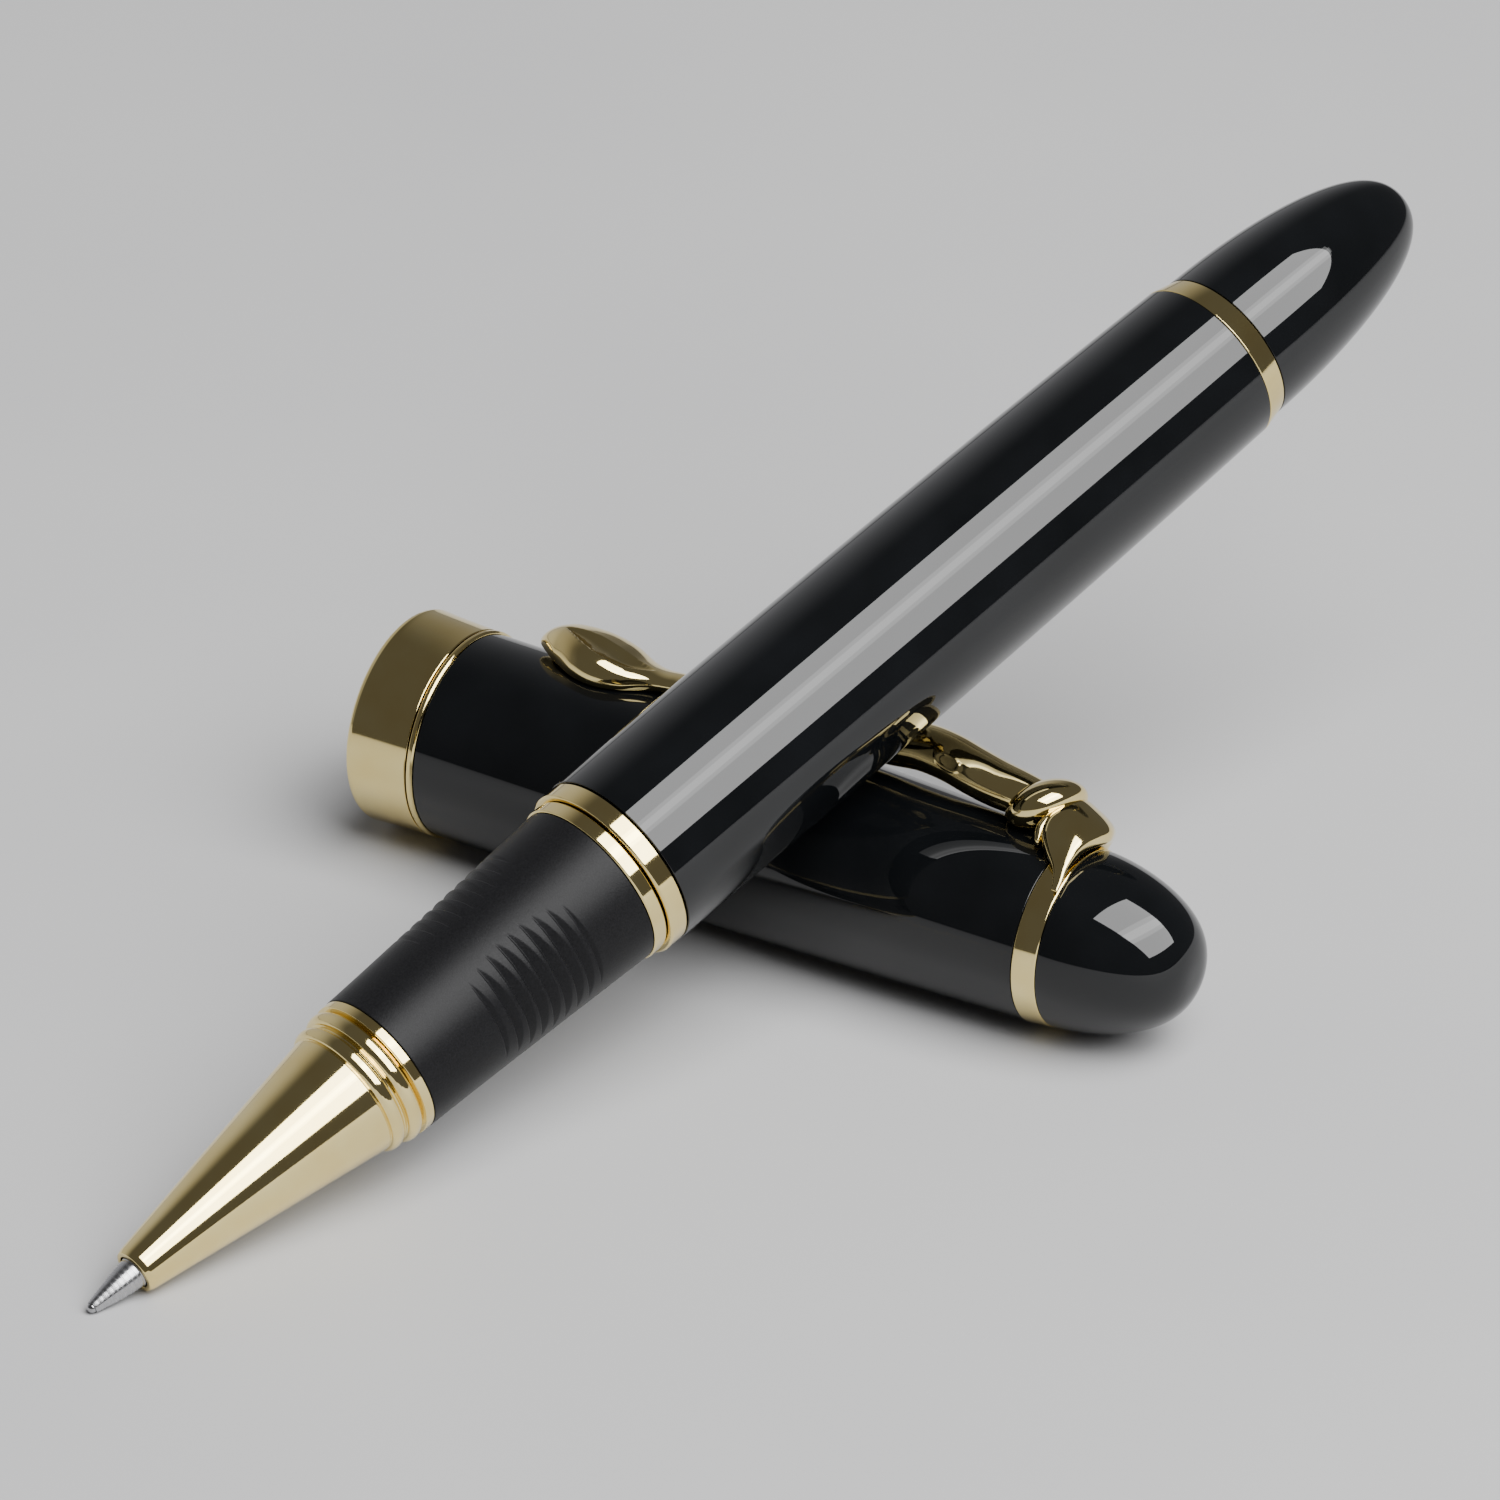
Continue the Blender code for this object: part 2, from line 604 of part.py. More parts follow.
def main():
    gold = new_material("polished_gold", (0.83, 0.72, 0.42), 0.08, 1.0)
    lacquer = new_material("black_lacquer", (0.004, 0.005, 0.006), 0.06, 0.0)
    satin = new_material("satin_black", (0.018, 0.018, 0.020), 0.45, 0.0)
    brass = new_material("brass", (0.70, 0.55, 0.28), 0.30, 1.0)
    steel = new_material("steel", (0.62, 0.62, 0.62), 0.22, 1.0)
    plastic = new_material("black_plastic", (0.02, 0.02, 0.02), 0.40, 0.0)
    ink_tube = new_material("refill_plastic", (0.10, 0.13, 0.22), 0.35, 0.0)

    root = new_axis("pen_and_cap", Matrix.Identity(4), None)
    cap_axis = new_axis("cap_axis", cap_frame(), root)
    pen_axis = new_axis("pen_axis", pen_frame(), root)
    make_section(pen_axis, gold, satin, brass)
    make_refill(pen_axis, steel, plastic, ink_tube)
    make_barrel(pen_axis, lacquer, gold, brass)
    make_thrust(pen_axis, steel, plastic)
    make_cap(cap_axis, lacquer, gold, brass, plastic)
    make_clip(cap_axis, gold)
    bpy.context.view_layer.update()
    centre_on_origin(root)


clear_scene()
PIECES = new_collection("rollerball_pen")
CUTTERS = new_collection("rollerball_pen_cutters")
main()
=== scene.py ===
# %% [markdown]
# # A rollerball pen lying across its cap
# The pen is black lacquer with pale gold fittings. Its point touches the table and its barrel rests on
# the clip of its own cap, which lies on its side. Almost every piece is turned on a lathe, so most of
# this lesson is about one idea, an outline that goes round an axis, and about what makes polished metal
# and lacquer look right.
#
# We start from a finished engineering model, the frame. It fixes every size and says which pieces move
# together.

# %% Load the frame
import json

import bpy
import numpy as np
from mathutils import Matrix, Vector


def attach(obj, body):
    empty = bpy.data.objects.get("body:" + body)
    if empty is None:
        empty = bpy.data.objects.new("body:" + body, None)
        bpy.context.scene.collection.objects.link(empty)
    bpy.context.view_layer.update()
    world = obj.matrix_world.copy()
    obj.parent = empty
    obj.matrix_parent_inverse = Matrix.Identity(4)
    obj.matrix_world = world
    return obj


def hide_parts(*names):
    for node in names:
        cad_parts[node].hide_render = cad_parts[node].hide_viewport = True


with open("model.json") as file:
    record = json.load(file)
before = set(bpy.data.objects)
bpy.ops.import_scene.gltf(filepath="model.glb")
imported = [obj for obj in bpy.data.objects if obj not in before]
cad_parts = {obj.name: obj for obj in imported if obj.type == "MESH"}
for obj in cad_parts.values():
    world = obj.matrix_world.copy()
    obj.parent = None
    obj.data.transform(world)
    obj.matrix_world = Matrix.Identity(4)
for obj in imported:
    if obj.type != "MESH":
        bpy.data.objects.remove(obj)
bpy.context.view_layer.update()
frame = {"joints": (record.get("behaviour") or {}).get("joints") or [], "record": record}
record = frame["record"]
joints = {joint["name"]: joint for joint in frame["joints"]}
mounts = {mount["name"]: mount for mount in record["mounts"]}

# %% [markdown]
# ## The camera
# A long lens from well above the pen's point keeps the perspective flat and calm. We place the camera on
# a sphere round the spot that it looks at, so its position is that spot plus a distance times a direction
# made from two angles. Three coordinates and a turn would do as well, but two angles and a distance are
# easier to adjust one at a time.

# %% Camera
LOOK_AT = np.array([-0.01560, 0.02747, 0.0])
AZIMUTH, ELEVATION = np.radians([32.13, 29.37])
DISTANCE = 0.6526

backwards = np.array(
    [np.sin(AZIMUTH) * np.cos(ELEVATION), -np.cos(AZIMUTH) * np.cos(ELEVATION), np.sin(ELEVATION)]
)
camera_data = bpy.data.cameras.new("long_lens")
camera_data.lens, camera_data.sensor_width = 224.1, 36.0
camera_data.clip_start, camera_data.clip_end = 0.01, 20.0
camera = bpy.data.objects.new("long_lens", camera_data)
bpy.context.scene.collection.objects.link(camera)
camera.location = LOOK_AT + DISTANCE * backwards
camera.rotation_euler = (np.pi / 2 - ELEVATION, 0.0, AZIMUTH)
bpy.context.scene.camera = camera
print("camera at", [round(value, 4) for value in camera.location])

# %% [markdown]
# ## Two axes
# The pen and its cap are turned pieces, so each has an axis, and everything on it is easiest to describe
# by its station along the axis and its distance from it. The frame's record tells us where the axes run:
# the joint that unscrews the barrel lies on the pen's, and the flat face round the cap's mouth looks
# along the cap's.
#
# A small table of three unit vectors turns such local coordinates into the model's: one points away from
# the ground as far as it can, one along the axis, and one sideways.

# %% Axes of the pen, the cap and the clip
MM = 0.001
THREAD_STATION = 60.0  # where on the pen the barrel's screw joint is given
MOUTH_FACE_OFFSET = 6.7  # the mouth's mount point lies this far behind the cap's axis
CLIP_LEAN = np.radians(20.0)  # the clip lies a little behind the top of the cap


def unit(vector):
    """The vector divided by its own length."""
    return vector / np.linalg.norm(vector)


def axes_along(origin, along):
    """Origin and three columns: away from the ground, sideways and along."""
    along = unit(np.array(along, float))
    up = unit(np.array([0.0, 0.0, 1.0]) - along[2] * along)
    return np.array(origin, float), np.column_stack([up, np.cross(along, up), along])


def turned_axes(axes, angle):
    """The same origin, with the first two columns turned about the third by an angle."""
    origin, columns = axes
    cos, sin = np.cos(angle), np.sin(angle)
    return origin, columns @ np.array([[cos, -sin, 0.0], [sin, cos, 0.0], [0.0, 0.0, 1.0]])


screw = joints["barrel_unscrew"]
pen = axes_along(screw["pos_m"], screw["axis"])
pen = (pen[0] - THREAD_STATION * MM * pen[1][:, 2], pen[1])
mouth = mounts["mouth_rim"]
cap = axes_along(np.array(mouth["pos_m"]) - [0.0, MOUTH_FACE_OFFSET * MM, 0.0], -np.array(mouth["axis"]))
clip = turned_axes(cap, -CLIP_LEAN)
print("pen's point", np.round(pen[0] / MM, 2), "cap's mouth", np.round(cap[0] / MM, 2))

# %% [markdown]
# ## Grids that become meshes
# Every surface here is a grid of points: rows along it and columns round it. Numpy works out all the
# points at once, and the faces follow from their places in the grid. A row that shrinks to a point would
# leave a fan of faces without area, so a pole is a single point joined to its row by triangles. At the
# end the enclosed volume is worked out, and if it is negative the faces point inwards and are turned
# round.


# %% From grid to mesh
def grid_faces(rows, columns, closed_rows):
    """Squares between neighbouring rows and columns, wrapping round the columns and, if closed, the
    rows."""
    row = np.arange(rows if closed_rows else rows - 1)[:, None]
    column = np.arange(columns)[None, :]
    next_row, next_column = (row + 1) % rows, (column + 1) % columns
    corners = [row * columns + column, next_row * columns + column]
    corners += [next_row * columns + next_column, row * columns + next_column]
    return np.stack(np.broadcast_arrays(*corners), -1).reshape(-1, 4)


def pole_faces(row_start, columns, pole, flip):
    """Triangles from one row to a single point."""
    column = np.arange(columns)
    following = (column + 1) % columns
    fan = np.stack([row_start + column, row_start + following, np.full(columns, pole)], -1)
    return fan[:, ::-1] if flip else fan


def enclosed_volume(points, squares, triangles):
    """Sum over the triangles of a . (b x c) / 6, the volume between each and the origin."""
    halves = np.vstack([squares[:, [0, 1, 2]], squares[:, [0, 2, 3]], triangles])
    a, b, c = points[halves[:, 0]], points[halves[:, 1]], points[halves[:, 2]]
    return np.einsum("ij,ij->", a, np.cross(b, c)) / 6


def grid_shell(grid, closed_rows, first_pole=None, last_pole=None):
    """Points, squares and triangles of one closed shell in local millimetres."""
    rows, columns = grid.shape[:2]
    points = grid.reshape(-1, 3)
    squares = grid_faces(rows, columns, closed_rows)
    triangles = np.zeros((0, 3), int)
    for pole, start, flip in ((first_pole, 0, False), (last_pole, (rows - 1) * columns, True)):
        if pole is not None:
            triangles = np.vstack([triangles, pole_faces(start, columns, len(points), flip)])
            points = np.vstack([points, pole])
    if enclosed_volume(points, squares, triangles) < 0:
        squares, triangles = squares[:, ::-1], triangles[:, ::-1]
    return points, squares, triangles


def piece_from_shells(name, shells, axes, material, body, node):
    """Joins shells into one mesh, places it by its axes, and lets it ride on a body in place of its CAD
    node."""
    points, squares, triangles, count = [], [], [], 0
    for shell_points, shell_squares, shell_triangles in shells:
        points.append(shell_points)
        squares.append(shell_squares + count)
        triangles.append(shell_triangles + count)
        count += len(shell_points)
    origin, columns = axes
    placed = origin + MM * np.vstack(points) @ columns.T
    squares, triangles = np.vstack(squares), np.vstack(triangles)
    corners = np.concatenate([squares.ravel(), triangles.ravel()])
    sizes = np.concatenate([np.full(len(squares), 4), np.full(len(triangles), 3)])
    mesh = bpy.data.meshes.new(name)
    mesh.vertices.add(len(placed))
    mesh.vertices.foreach_set("co", placed.astype(np.float32).ravel())
    mesh.loops.add(len(corners))
    mesh.loops.foreach_set("vertex_index", corners.astype(np.int32))
    mesh.polygons.add(len(sizes))
    mesh.polygons.foreach_set("loop_start", (np.cumsum(sizes) - sizes).astype(np.int32))
    mesh.polygons.foreach_set("use_smooth", np.ones(len(sizes), bool))
    mesh.update(calc_edges=True)
    mesh.validate()
    mesh.materials.append(material)
    made = bpy.data.objects.new(name, mesh)
    bpy.context.scene.collection.objects.link(made)
    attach(made, body)
    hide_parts(node)
    print(f"{name}: {2 * len(squares) + len(triangles)} triangles")


print("a grid of 4 by 6 points makes", len(grid_faces(4, 6, False)), "squares, as its columns close")


# %% [markdown]
# ## Outlines and the lathe
# A turned piece is an outline of (station, radius) points that goes round the axis. Real edges are never
# razor sharp, and on polished metal the tiny rounding is what catches the light, so each sharp corner of
# an outline becomes a short curve. A supporting point just before and just after the curve keeps the
# flats beside it looking flat, because smooth shading blends the directions of neighbouring faces.


# %% Rounded outlines
SHARP = np.radians(9.0)  # corners that turn less than this belong to a smooth curve
LARGEST_SHARE = 0.27  # a rounding takes no more than this share of the shorter side
SUPPORT = 1.7  # the supporting points lie this many roundings from the corner


def rounded(outline, edge, steps):
    """Each sharp corner becomes a parabola, (1-t)^2 a + 2t(1-t) corner + t^2 b, where a and b lie a
    little before and after it, with one supporting point on either side."""
    outline = np.array(outline, float)
    before, after = np.roll(outline, 1, 0) - outline, np.roll(outline, -1, 0) - outline
    reach, onward = np.linalg.norm(before, axis=1), np.linalg.norm(after, axis=1)
    before, after = before / reach[:, None], after / onward[:, None]
    turn = np.arccos(np.clip(-(before * after).sum(1), -1.0, 1.0))
    corner = turn > SHARP
    ends = (outline[[0, -1], 1] < 1e-6).nonzero()[0]
    corner[np.array([0, -1])[ends]] = False
    cut = np.minimum(edge, LARGEST_SHARE * np.minimum(reach, onward))
    count = np.where(corner, steps + 3, 1)
    index = np.repeat(np.arange(len(outline)), count)
    place = np.arange(len(index)) - np.repeat(np.cumsum(count) - count, count)
    t = np.clip((place - 1) / steps, 0.0, 1.0)[:, None]
    start, end = outline + before * cut[:, None], outline + after * cut[:, None]
    curve = (1 - t) ** 2 * start[index] + 2 * t * (1 - t) * outline[index] + t**2 * end[index]
    support = SUPPORT * cut[index][:, None]
    curve = np.where((place == 0)[:, None], outline[index] + before[index] * support, curve)
    curve = np.where((place == steps + 2)[:, None], outline[index] + after[index] * support, curve)
    return np.where(corner[index][:, None], curve, outline[index])


def curve_between(first, last, radius_at, count=40):
    """(station, radius) points along a smooth outline."""
    stations = np.linspace(first, last, count)
    return np.column_stack([stations, radius_at(stations)])


square = [[0, 1], [1, 1], [1, 2], [0, 2]]
print("a square outline has", len(rounded(square, 0.1, 4)), "points once its corners are rounded")


# %% [markdown]
# The lathe itself is one line of arithmetic: a point at station s and radius r, turned by an angle a,
# lies at (r cos a, r sin a, s). An optional relief adds to the radius, which is how the grip gets its
# finger cuts.


# %% The lathe
def lathe_shell(outline, columns=256, relief=None):
    """(r cos a, r sin a, s) for every outline point and angle. An outline whose ends lie on the axis gets
    poles, any other closes on itself."""
    outline = np.asarray(outline, float)
    on_axis = outline[:, 1] < 1e-6
    closed = not on_axis.any()
    first = (0.0, 0.0, outline[0, 0]) if on_axis[0] else None
    last = (0.0, 0.0, outline[-1, 0]) if on_axis[-1] else None
    rows = outline[~on_axis]
    angle = np.linspace(0.0, 2 * np.pi, columns, endpoint=False)[None, :]
    station, radius = rows[:, 0][:, None], rows[:, 1][:, None]
    if relief is not None:
        radius = radius + relief(station, angle)
    grid = np.stack(np.broadcast_arrays(radius * np.cos(angle), radius * np.sin(angle), station), -1)
    return grid_shell(grid, closed, first, last)


def turned_piece(
    name, outline, axes, material, body, node, edge=0.05, steps=4, columns=256, relief=None
):
    """Rounds the outline's corners, turns it on the lathe and makes the shell a piece."""
    shell = lathe_shell(rounded(outline, edge, steps), columns, relief)
    piece_from_shells(name, [shell], axes, material, body, node)


test_disc = lathe_shell([[0.0, 0.0], [0.0, 1.0], [1.0, 1.0], [1.0, 0.0]])
print("a disc of radius 1 and height 1 encloses", round(enclosed_volume(*test_disc), 4), "where pi is 3.1416")


# %% [markdown]
# ## Materials
# Four finishes make this pen: mirror gold, black lacquer, satin black and turned steel. Each is a small
# network of nodes on the Principled shader. The numbers that hold all over the surface are set on the
# shader itself, and the nodes only carry what varies: a breath of colour, the polish, and the last trace
# of grain.
#
# Patterns read Object coordinates, which here are metres in the model. A Mapping node turns them to the
# pen's or the cap's own axis where a pattern has to run round it.


# %% Node helpers
def euler_of(columns):
    """The three angles of a turn, as a Mapping node wants them."""
    return Matrix(columns.tolist()).to_euler()


WAVE_PERIOD = 2 * np.pi / 20  # the wave pattern repeats after this length when its scale is 1


class Finish:
    """A material with its Principled shader, and helpers that add one node each."""

    def __init__(self, name, base, metallic, roughness, axes=None):
        self.material = bpy.data.materials.new(name)
        self.material.use_nodes = True
        self.material.diffuse_color = (*base, 1.0)
        self.nodes, self.links = self.material.node_tree.nodes, self.material.node_tree.links
        self.surface = self.nodes["Principled BSDF"]
        self.set(Metallic=metallic)
        self.set(Roughness=roughness)
        self.surface.inputs["Base Color"].default_value = (*base, 1.0)
        coordinates = self.nodes.new("ShaderNodeTexCoord")
        self.place = coordinates.outputs["Object"]
        if axes is not None:
            mapping = self.nodes.new("ShaderNodeMapping")
            mapping.vector_type = "TEXTURE"
            mapping.inputs["Location"].default_value = axes[0]
            mapping.inputs["Rotation"].default_value = euler_of(axes[1])
            self.links.new(self.place, mapping.inputs["Vector"])
            self.place = mapping.outputs["Vector"]

    def set(self, **values):
        """Numbers that hold all over the surface, set on the shader's own sockets."""
        for name, value in values.items():
            self.surface.inputs[name.replace("_", " ")].default_value = value

    def noise(self, grains_per_mm, detail=3.0, stretch=None):
        """Noise with so many grains in a millimetre."""
        node = self.nodes.new("ShaderNodeTexNoise")
        node.inputs["Scale"].default_value = grains_per_mm / MM
        node.inputs["Detail"].default_value = detail
        place = self.place
        if stretch is not None:
            mapping = self.nodes.new("ShaderNodeMapping")
            mapping.inputs["Scale"].default_value = stretch
            self.links.new(place, mapping.inputs["Vector"])
            place = mapping.outputs["Vector"]
        self.links.new(place, node.inputs["Vector"])
        return node.outputs["Fac"]

    def rings(self, rings_per_mm, wobble=0.6):
        """Fine rings round the axis, as a lathe tool leaves them."""
        node = self.nodes.new("ShaderNodeTexWave")
        node.bands_direction = "Z"
        node.inputs["Scale"].default_value = rings_per_mm / MM * WAVE_PERIOD
        node.inputs["Distortion"].default_value = wobble
        node.inputs["Detail"].default_value = 2.0
        self.links.new(self.place, node.inputs["Vector"])
        return node.outputs["Fac"]

    def between(self, value, low, high):
        """value from 0..1 becomes low..high."""
        node = self.nodes.new("ShaderNodeMapRange")
        node.inputs["To Min"].default_value, node.inputs["To Max"].default_value = low, high
        self.links.new(value, node.inputs["Value"])
        return node.outputs["Result"]

    def tint(self, value, dark, light):
        """A colour between two, as the value says."""
        ramp = self.nodes.new("ShaderNodeValToRGB")
        ramp.color_ramp.elements[0].position, ramp.color_ramp.elements[1].position = 0.3, 0.7
        ramp.color_ramp.elements[0].color, ramp.color_ramp.elements[1].color = (*dark, 1.0), (*light, 1.0)
        self.links.new(value, ramp.inputs["Fac"])
        self.links.new(ramp.outputs["Color"], self.surface.inputs["Base Color"])

    def polish(self, value, low, high):
        """Roughness between two numbers, as the value says."""
        self.links.new(self.between(value, low, high), self.surface.inputs["Roughness"])

    def bump(self, value, height_mm, coat=False):
        """The last trace of relief, too fine to model, for the surface and if wanted for its coat."""
        node = self.nodes.new("ShaderNodeBump")
        node.inputs["Strength"].default_value = 1.0
        node.inputs["Distance"].default_value = height_mm * MM
        self.links.new(value, node.inputs["Height"])
        self.links.new(node.outputs["Normal"], self.surface.inputs["Normal"])
        if coat:
            self.links.new(node.outputs["Normal"], self.surface.inputs["Coat Normal"])


print("turn of the pen's axes in degrees:", np.round(np.degrees(euler_of(pen[1])), 1))

# %% [markdown]
# ### Gold
# The fittings are plated and polished to a mirror. A plain metal shader in one colour looks like a
# computer's gold, so three faint things are added: the colour drifts a little, the polish varies where a
# cloth has been, and a very low wave bends the reflections as hand polishing does.


# %% Mirror gold
def mirror_gold(name, axes):
    finish = Finish(name, (0.86, 0.70, 0.31), 1.0, 0.06, axes)
    finish.tint(finish.noise(0.35, 2.0), (0.84, 0.67, 0.28), (0.88, 0.73, 0.34))
    finish.polish(finish.noise(6.0, 4.0), 0.035, 0.085)
    finish.bump(finish.noise(1.1, 2.0), 0.0006)
    return finish.material


gold_on_pen = mirror_gold("mirror gold on the pen", pen)
gold_on_cap = mirror_gold("mirror gold on the cap", cap)
print("made", gold_on_pen.name, "and", gold_on_cap.name)

# %% [markdown]
# ### Lacquer
# Deep black lacquer is a dark body under a clear, hard gloss. One glossy layer would be enough for a flat
# black, but here only the clear coat reflects and the body under it stays almost black, which gives the
# depth. The coat also gets a very low wave, because a brushed and buffed surface is never perfectly
# round.


# %% Black lacquer
def black_lacquer(name, axes):
    finish = Finish(name, (0.003, 0.0035, 0.004), 0.0, 0.03, axes)
    finish.set(IOR=1.5, Specular_IOR_Level=0.0, Coat_Weight=1.0, Coat_Roughness=0.012, Coat_IOR=1.5)
    finish.tint(finish.noise(0.2, 2.0), (0.0022, 0.0026, 0.0030), (0.0038, 0.0043, 0.0050))
    finish.polish(finish.noise(2.5, 3.0), 0.02, 0.05)
    finish.bump(finish.noise(0.45, 1.0), 0.0008, coat=True)
    return finish.material


lacquer_on_pen = black_lacquer("lacquer on the pen", pen)
lacquer_on_cap = black_lacquer("lacquer on the cap", cap)
print("made", lacquer_on_pen.name, "and", lacquer_on_cap.name)

# %% [markdown]
# ### Satin resin, turned metal and plastic
# The grip is satin: its gloss is broad and weak, and a fine grain breaks it up. Turned metal keeps the
# rings that the tool left, so its polish and its relief follow the same rings round the axis. The moulded
# parts inside the pen have only a little grain.


# %% Satin black, steel, brass and plastics
def satin_black(name, axes):
    finish = Finish(name, (0.007, 0.007, 0.008), 0.0, 0.42, axes)
    finish.set(Specular_IOR_Level=0.14)
    finish.tint(finish.noise(9.0, 3.0), (0.004, 0.004, 0.0045), (0.010, 0.010, 0.011))
    finish.polish(finish.noise(14.0, 2.0), 0.34, 0.46)
    finish.bump(finish.noise(11.0, 3.0), 0.010)
    return finish.material


def turned_metal(name, base, axes, rings_per_mm, depth_mm, polish):
    finish = Finish(name, base, 1.0, polish, axes)
    grooves = finish.rings(rings_per_mm)
    dark = tuple(0.86 * value for value in base)
    finish.tint(finish.noise(1.5, 3.0, stretch=(0.3, 0.3, 3.0)), dark, base)
    finish.polish(grooves, polish, polish + 0.08)
    finish.bump(grooves, depth_mm)
    return finish.material


def moulded_plastic(name, base, axes, polish, grain_mm=0.004):
    finish = Finish(name, base, 0.0, polish, axes)
    dark, light = (tuple(share * value for value in base) for share in (0.8, 1.2))
    finish.tint(finish.noise(1.2, 3.0), dark, light)
    finish.polish(finish.noise(8.0, 2.0), polish - 0.06, polish + 0.06)
    finish.bump(finish.noise(7.0, 2.0), grain_mm)
    return finish.material


satin_grip = satin_black("satin grip", pen)
point_steel = turned_metal("turned steel point", (0.48, 0.48, 0.49), pen, 2.6, 0.0022, 0.20)
ball_carbide = turned_metal("ball", (0.45, 0.45, 0.46), pen, 2.0, 0.0005, 0.08)
spring_steel = turned_metal("spring steel", (0.60, 0.60, 0.58), pen, 3.0, 0.002, 0.25)
brass_in_pen = turned_metal("plain brass in the pen", (0.72, 0.55, 0.27), pen, 5.0, 0.004, 0.24)
brass_in_cap = turned_metal("plain brass in the cap", (0.72, 0.55, 0.27), cap, 5.0, 0.004, 0.24)
black_plastic_pen = moulded_plastic("black plastic in the pen", (0.018, 0.018, 0.019), pen, 0.40)
black_plastic_cap = moulded_plastic("black plastic in the cap", (0.018, 0.018, 0.019), cap, 0.42)
refill_body = moulded_plastic("refill body", (0.030, 0.045, 0.105), pen, 0.22, 0.001)
made = [satin_grip, point_steel, ball_carbide, spring_steel, brass_in_pen, brass_in_cap]
made += [black_plastic_pen, black_plastic_cap, refill_body]
print("made", ", ".join(material.name for material in made))

# %% [markdown]
# ## The nose
# The gold nose is a slim cone, two round beads and a flat band. It could be a cone and three rings, but
# then each needs its own hidden ends, so it is one outline. The beads are half ellipses standing on the
# cone's line, and the dark crease beside each of them is as important as the bead itself.

# %% Gold nose
POINT_MOUTH = 3.95
NOSE_LIP_RADIUS, NOSE_LIP_END = 1.66, 4.30
CONE_END, CONE_RADIUS = 22.30, 4.457
NOSE_END, NOSE_RADIUS = 25.64, 5.114
BAND_FRONT = 24.98
# start, end, radius of the foot, height
FRONT_BEAD, REAR_BEAD = (22.46, 23.52, 4.46, 0.36), (23.72, 24.84, 4.66, 0.42)
CORE_SPIGOT_RADIUS = 4.00
FIT_GAP, RUN_GAP = 0.05, 0.10  # between pieces that are pressed together, and between pieces that turn


def bead(start, end, base, height, count=14):
    """Half an ellipse on a straight foot: base + height * sqrt(1 - x^2), with x running from 1 to -1."""
    x = np.cos(np.linspace(0.0, np.pi, count))
    stations = 0.5 * (start + end) + 0.5 * (end - start) * x
    return np.column_stack([stations, base + height * np.sqrt(np.clip(1 - x**2, 0, 1))])


nose_outside = [[NOSE_END, NOSE_RADIUS], [BAND_FRONT, NOSE_RADIUS], [24.90, 4.80]]
nose_outside += bead(*REAR_BEAD).tolist()
nose_outside += [[23.62, 4.50]]
nose_outside += bead(*FRONT_BEAD).tolist()
nose_outside += [[22.40, 4.36], [CONE_END, CONE_RADIUS]]
nose_outside += [[NOSE_LIP_END, NOSE_LIP_RADIUS], [POINT_MOUTH, 1.52]]
nose_bore = [[POINT_MOUTH, 1.20], [6.45, 1.20], [7.00, 1.62], [12.00, 2.30], [17.00, 3.05], [21.80, 3.20]]
nose_bore += [[21.80, CORE_SPIGOT_RADIUS + FIT_GAP], [NOSE_END, CORE_SPIGOT_RADIUS + FIT_GAP]]
turned_piece(
    "gold_nose",
    nose_outside + nose_bore,
    pen,
    gold_on_pen,
    "section",
    "nose_cone",
    edge=0.07,
    steps=5,
)

# %% [markdown]
# ## The steel point and its ball
# The refill's point is a small steel ogive with fine rings from the lathe. A ball less than a millimetre
# across sits in its end, and rolls as the pen writes, so it is a piece of its own. The steel ends level
# with the ball's middle, and half of the ball stands free.

# %% Steel point and ball
BALL_RADIUS = 0.35
SOCKET_RADIUS, INK_RADIUS = BALL_RADIUS + 0.03, 0.14
POINT_RIM, POINT_RIM_RADIUS = 0.36, 0.42
point_outside = [[9.20, 1.14], [4.60, 1.14], [POINT_MOUTH, 1.10], [3.90, 1.06], [3.40, 1.02], [2.80, 0.93]]
point_outside += [[2.20, 0.82], [1.60, 0.69], [1.10, 0.58], [0.60, 0.475], [POINT_RIM, POINT_RIM_RADIUS]]
point_bore = [[POINT_RIM, SOCKET_RADIUS], [0.78, SOCKET_RADIUS], [0.95, INK_RADIUS], [9.20, INK_RADIUS]]
turned_piece(
    "steel_point",
    point_outside + point_bore,
    pen,
    point_steel,
    "refill",
    "refill_tip",
    edge=0.03,
    steps=3,
    columns=128,
)
arc = np.linspace(0.0, np.pi, 33)
ball_outline = np.column_stack([BALL_RADIUS + BALL_RADIUS * np.cos(arc), BALL_RADIUS * np.sin(arc)])
ball_outline[[0, -1], 1] = 0.0
piece_from_shells(
    "rolling_ball", [lathe_shell(ball_outline, 64)], pen, ball_carbide, "ball", "writing_ball"
)

# %% [markdown]
# ## The grip
# The grip is satin resin with three groups of finger cuts, a third of a turn apart. Each cut is a
# crescent: deepest in its middle, running out to nothing at both tips, steep on the side towards the
# point and sloping gently towards the barrel. The cuts in the middle of a group are the longest, so their
# tips follow a curve.
#
# The cuts could be cut out with a tool shape, but their edges run out to nothing, which such tools do
# badly. On a grid each is a relief, a number added to the radius that depends on station and angle.

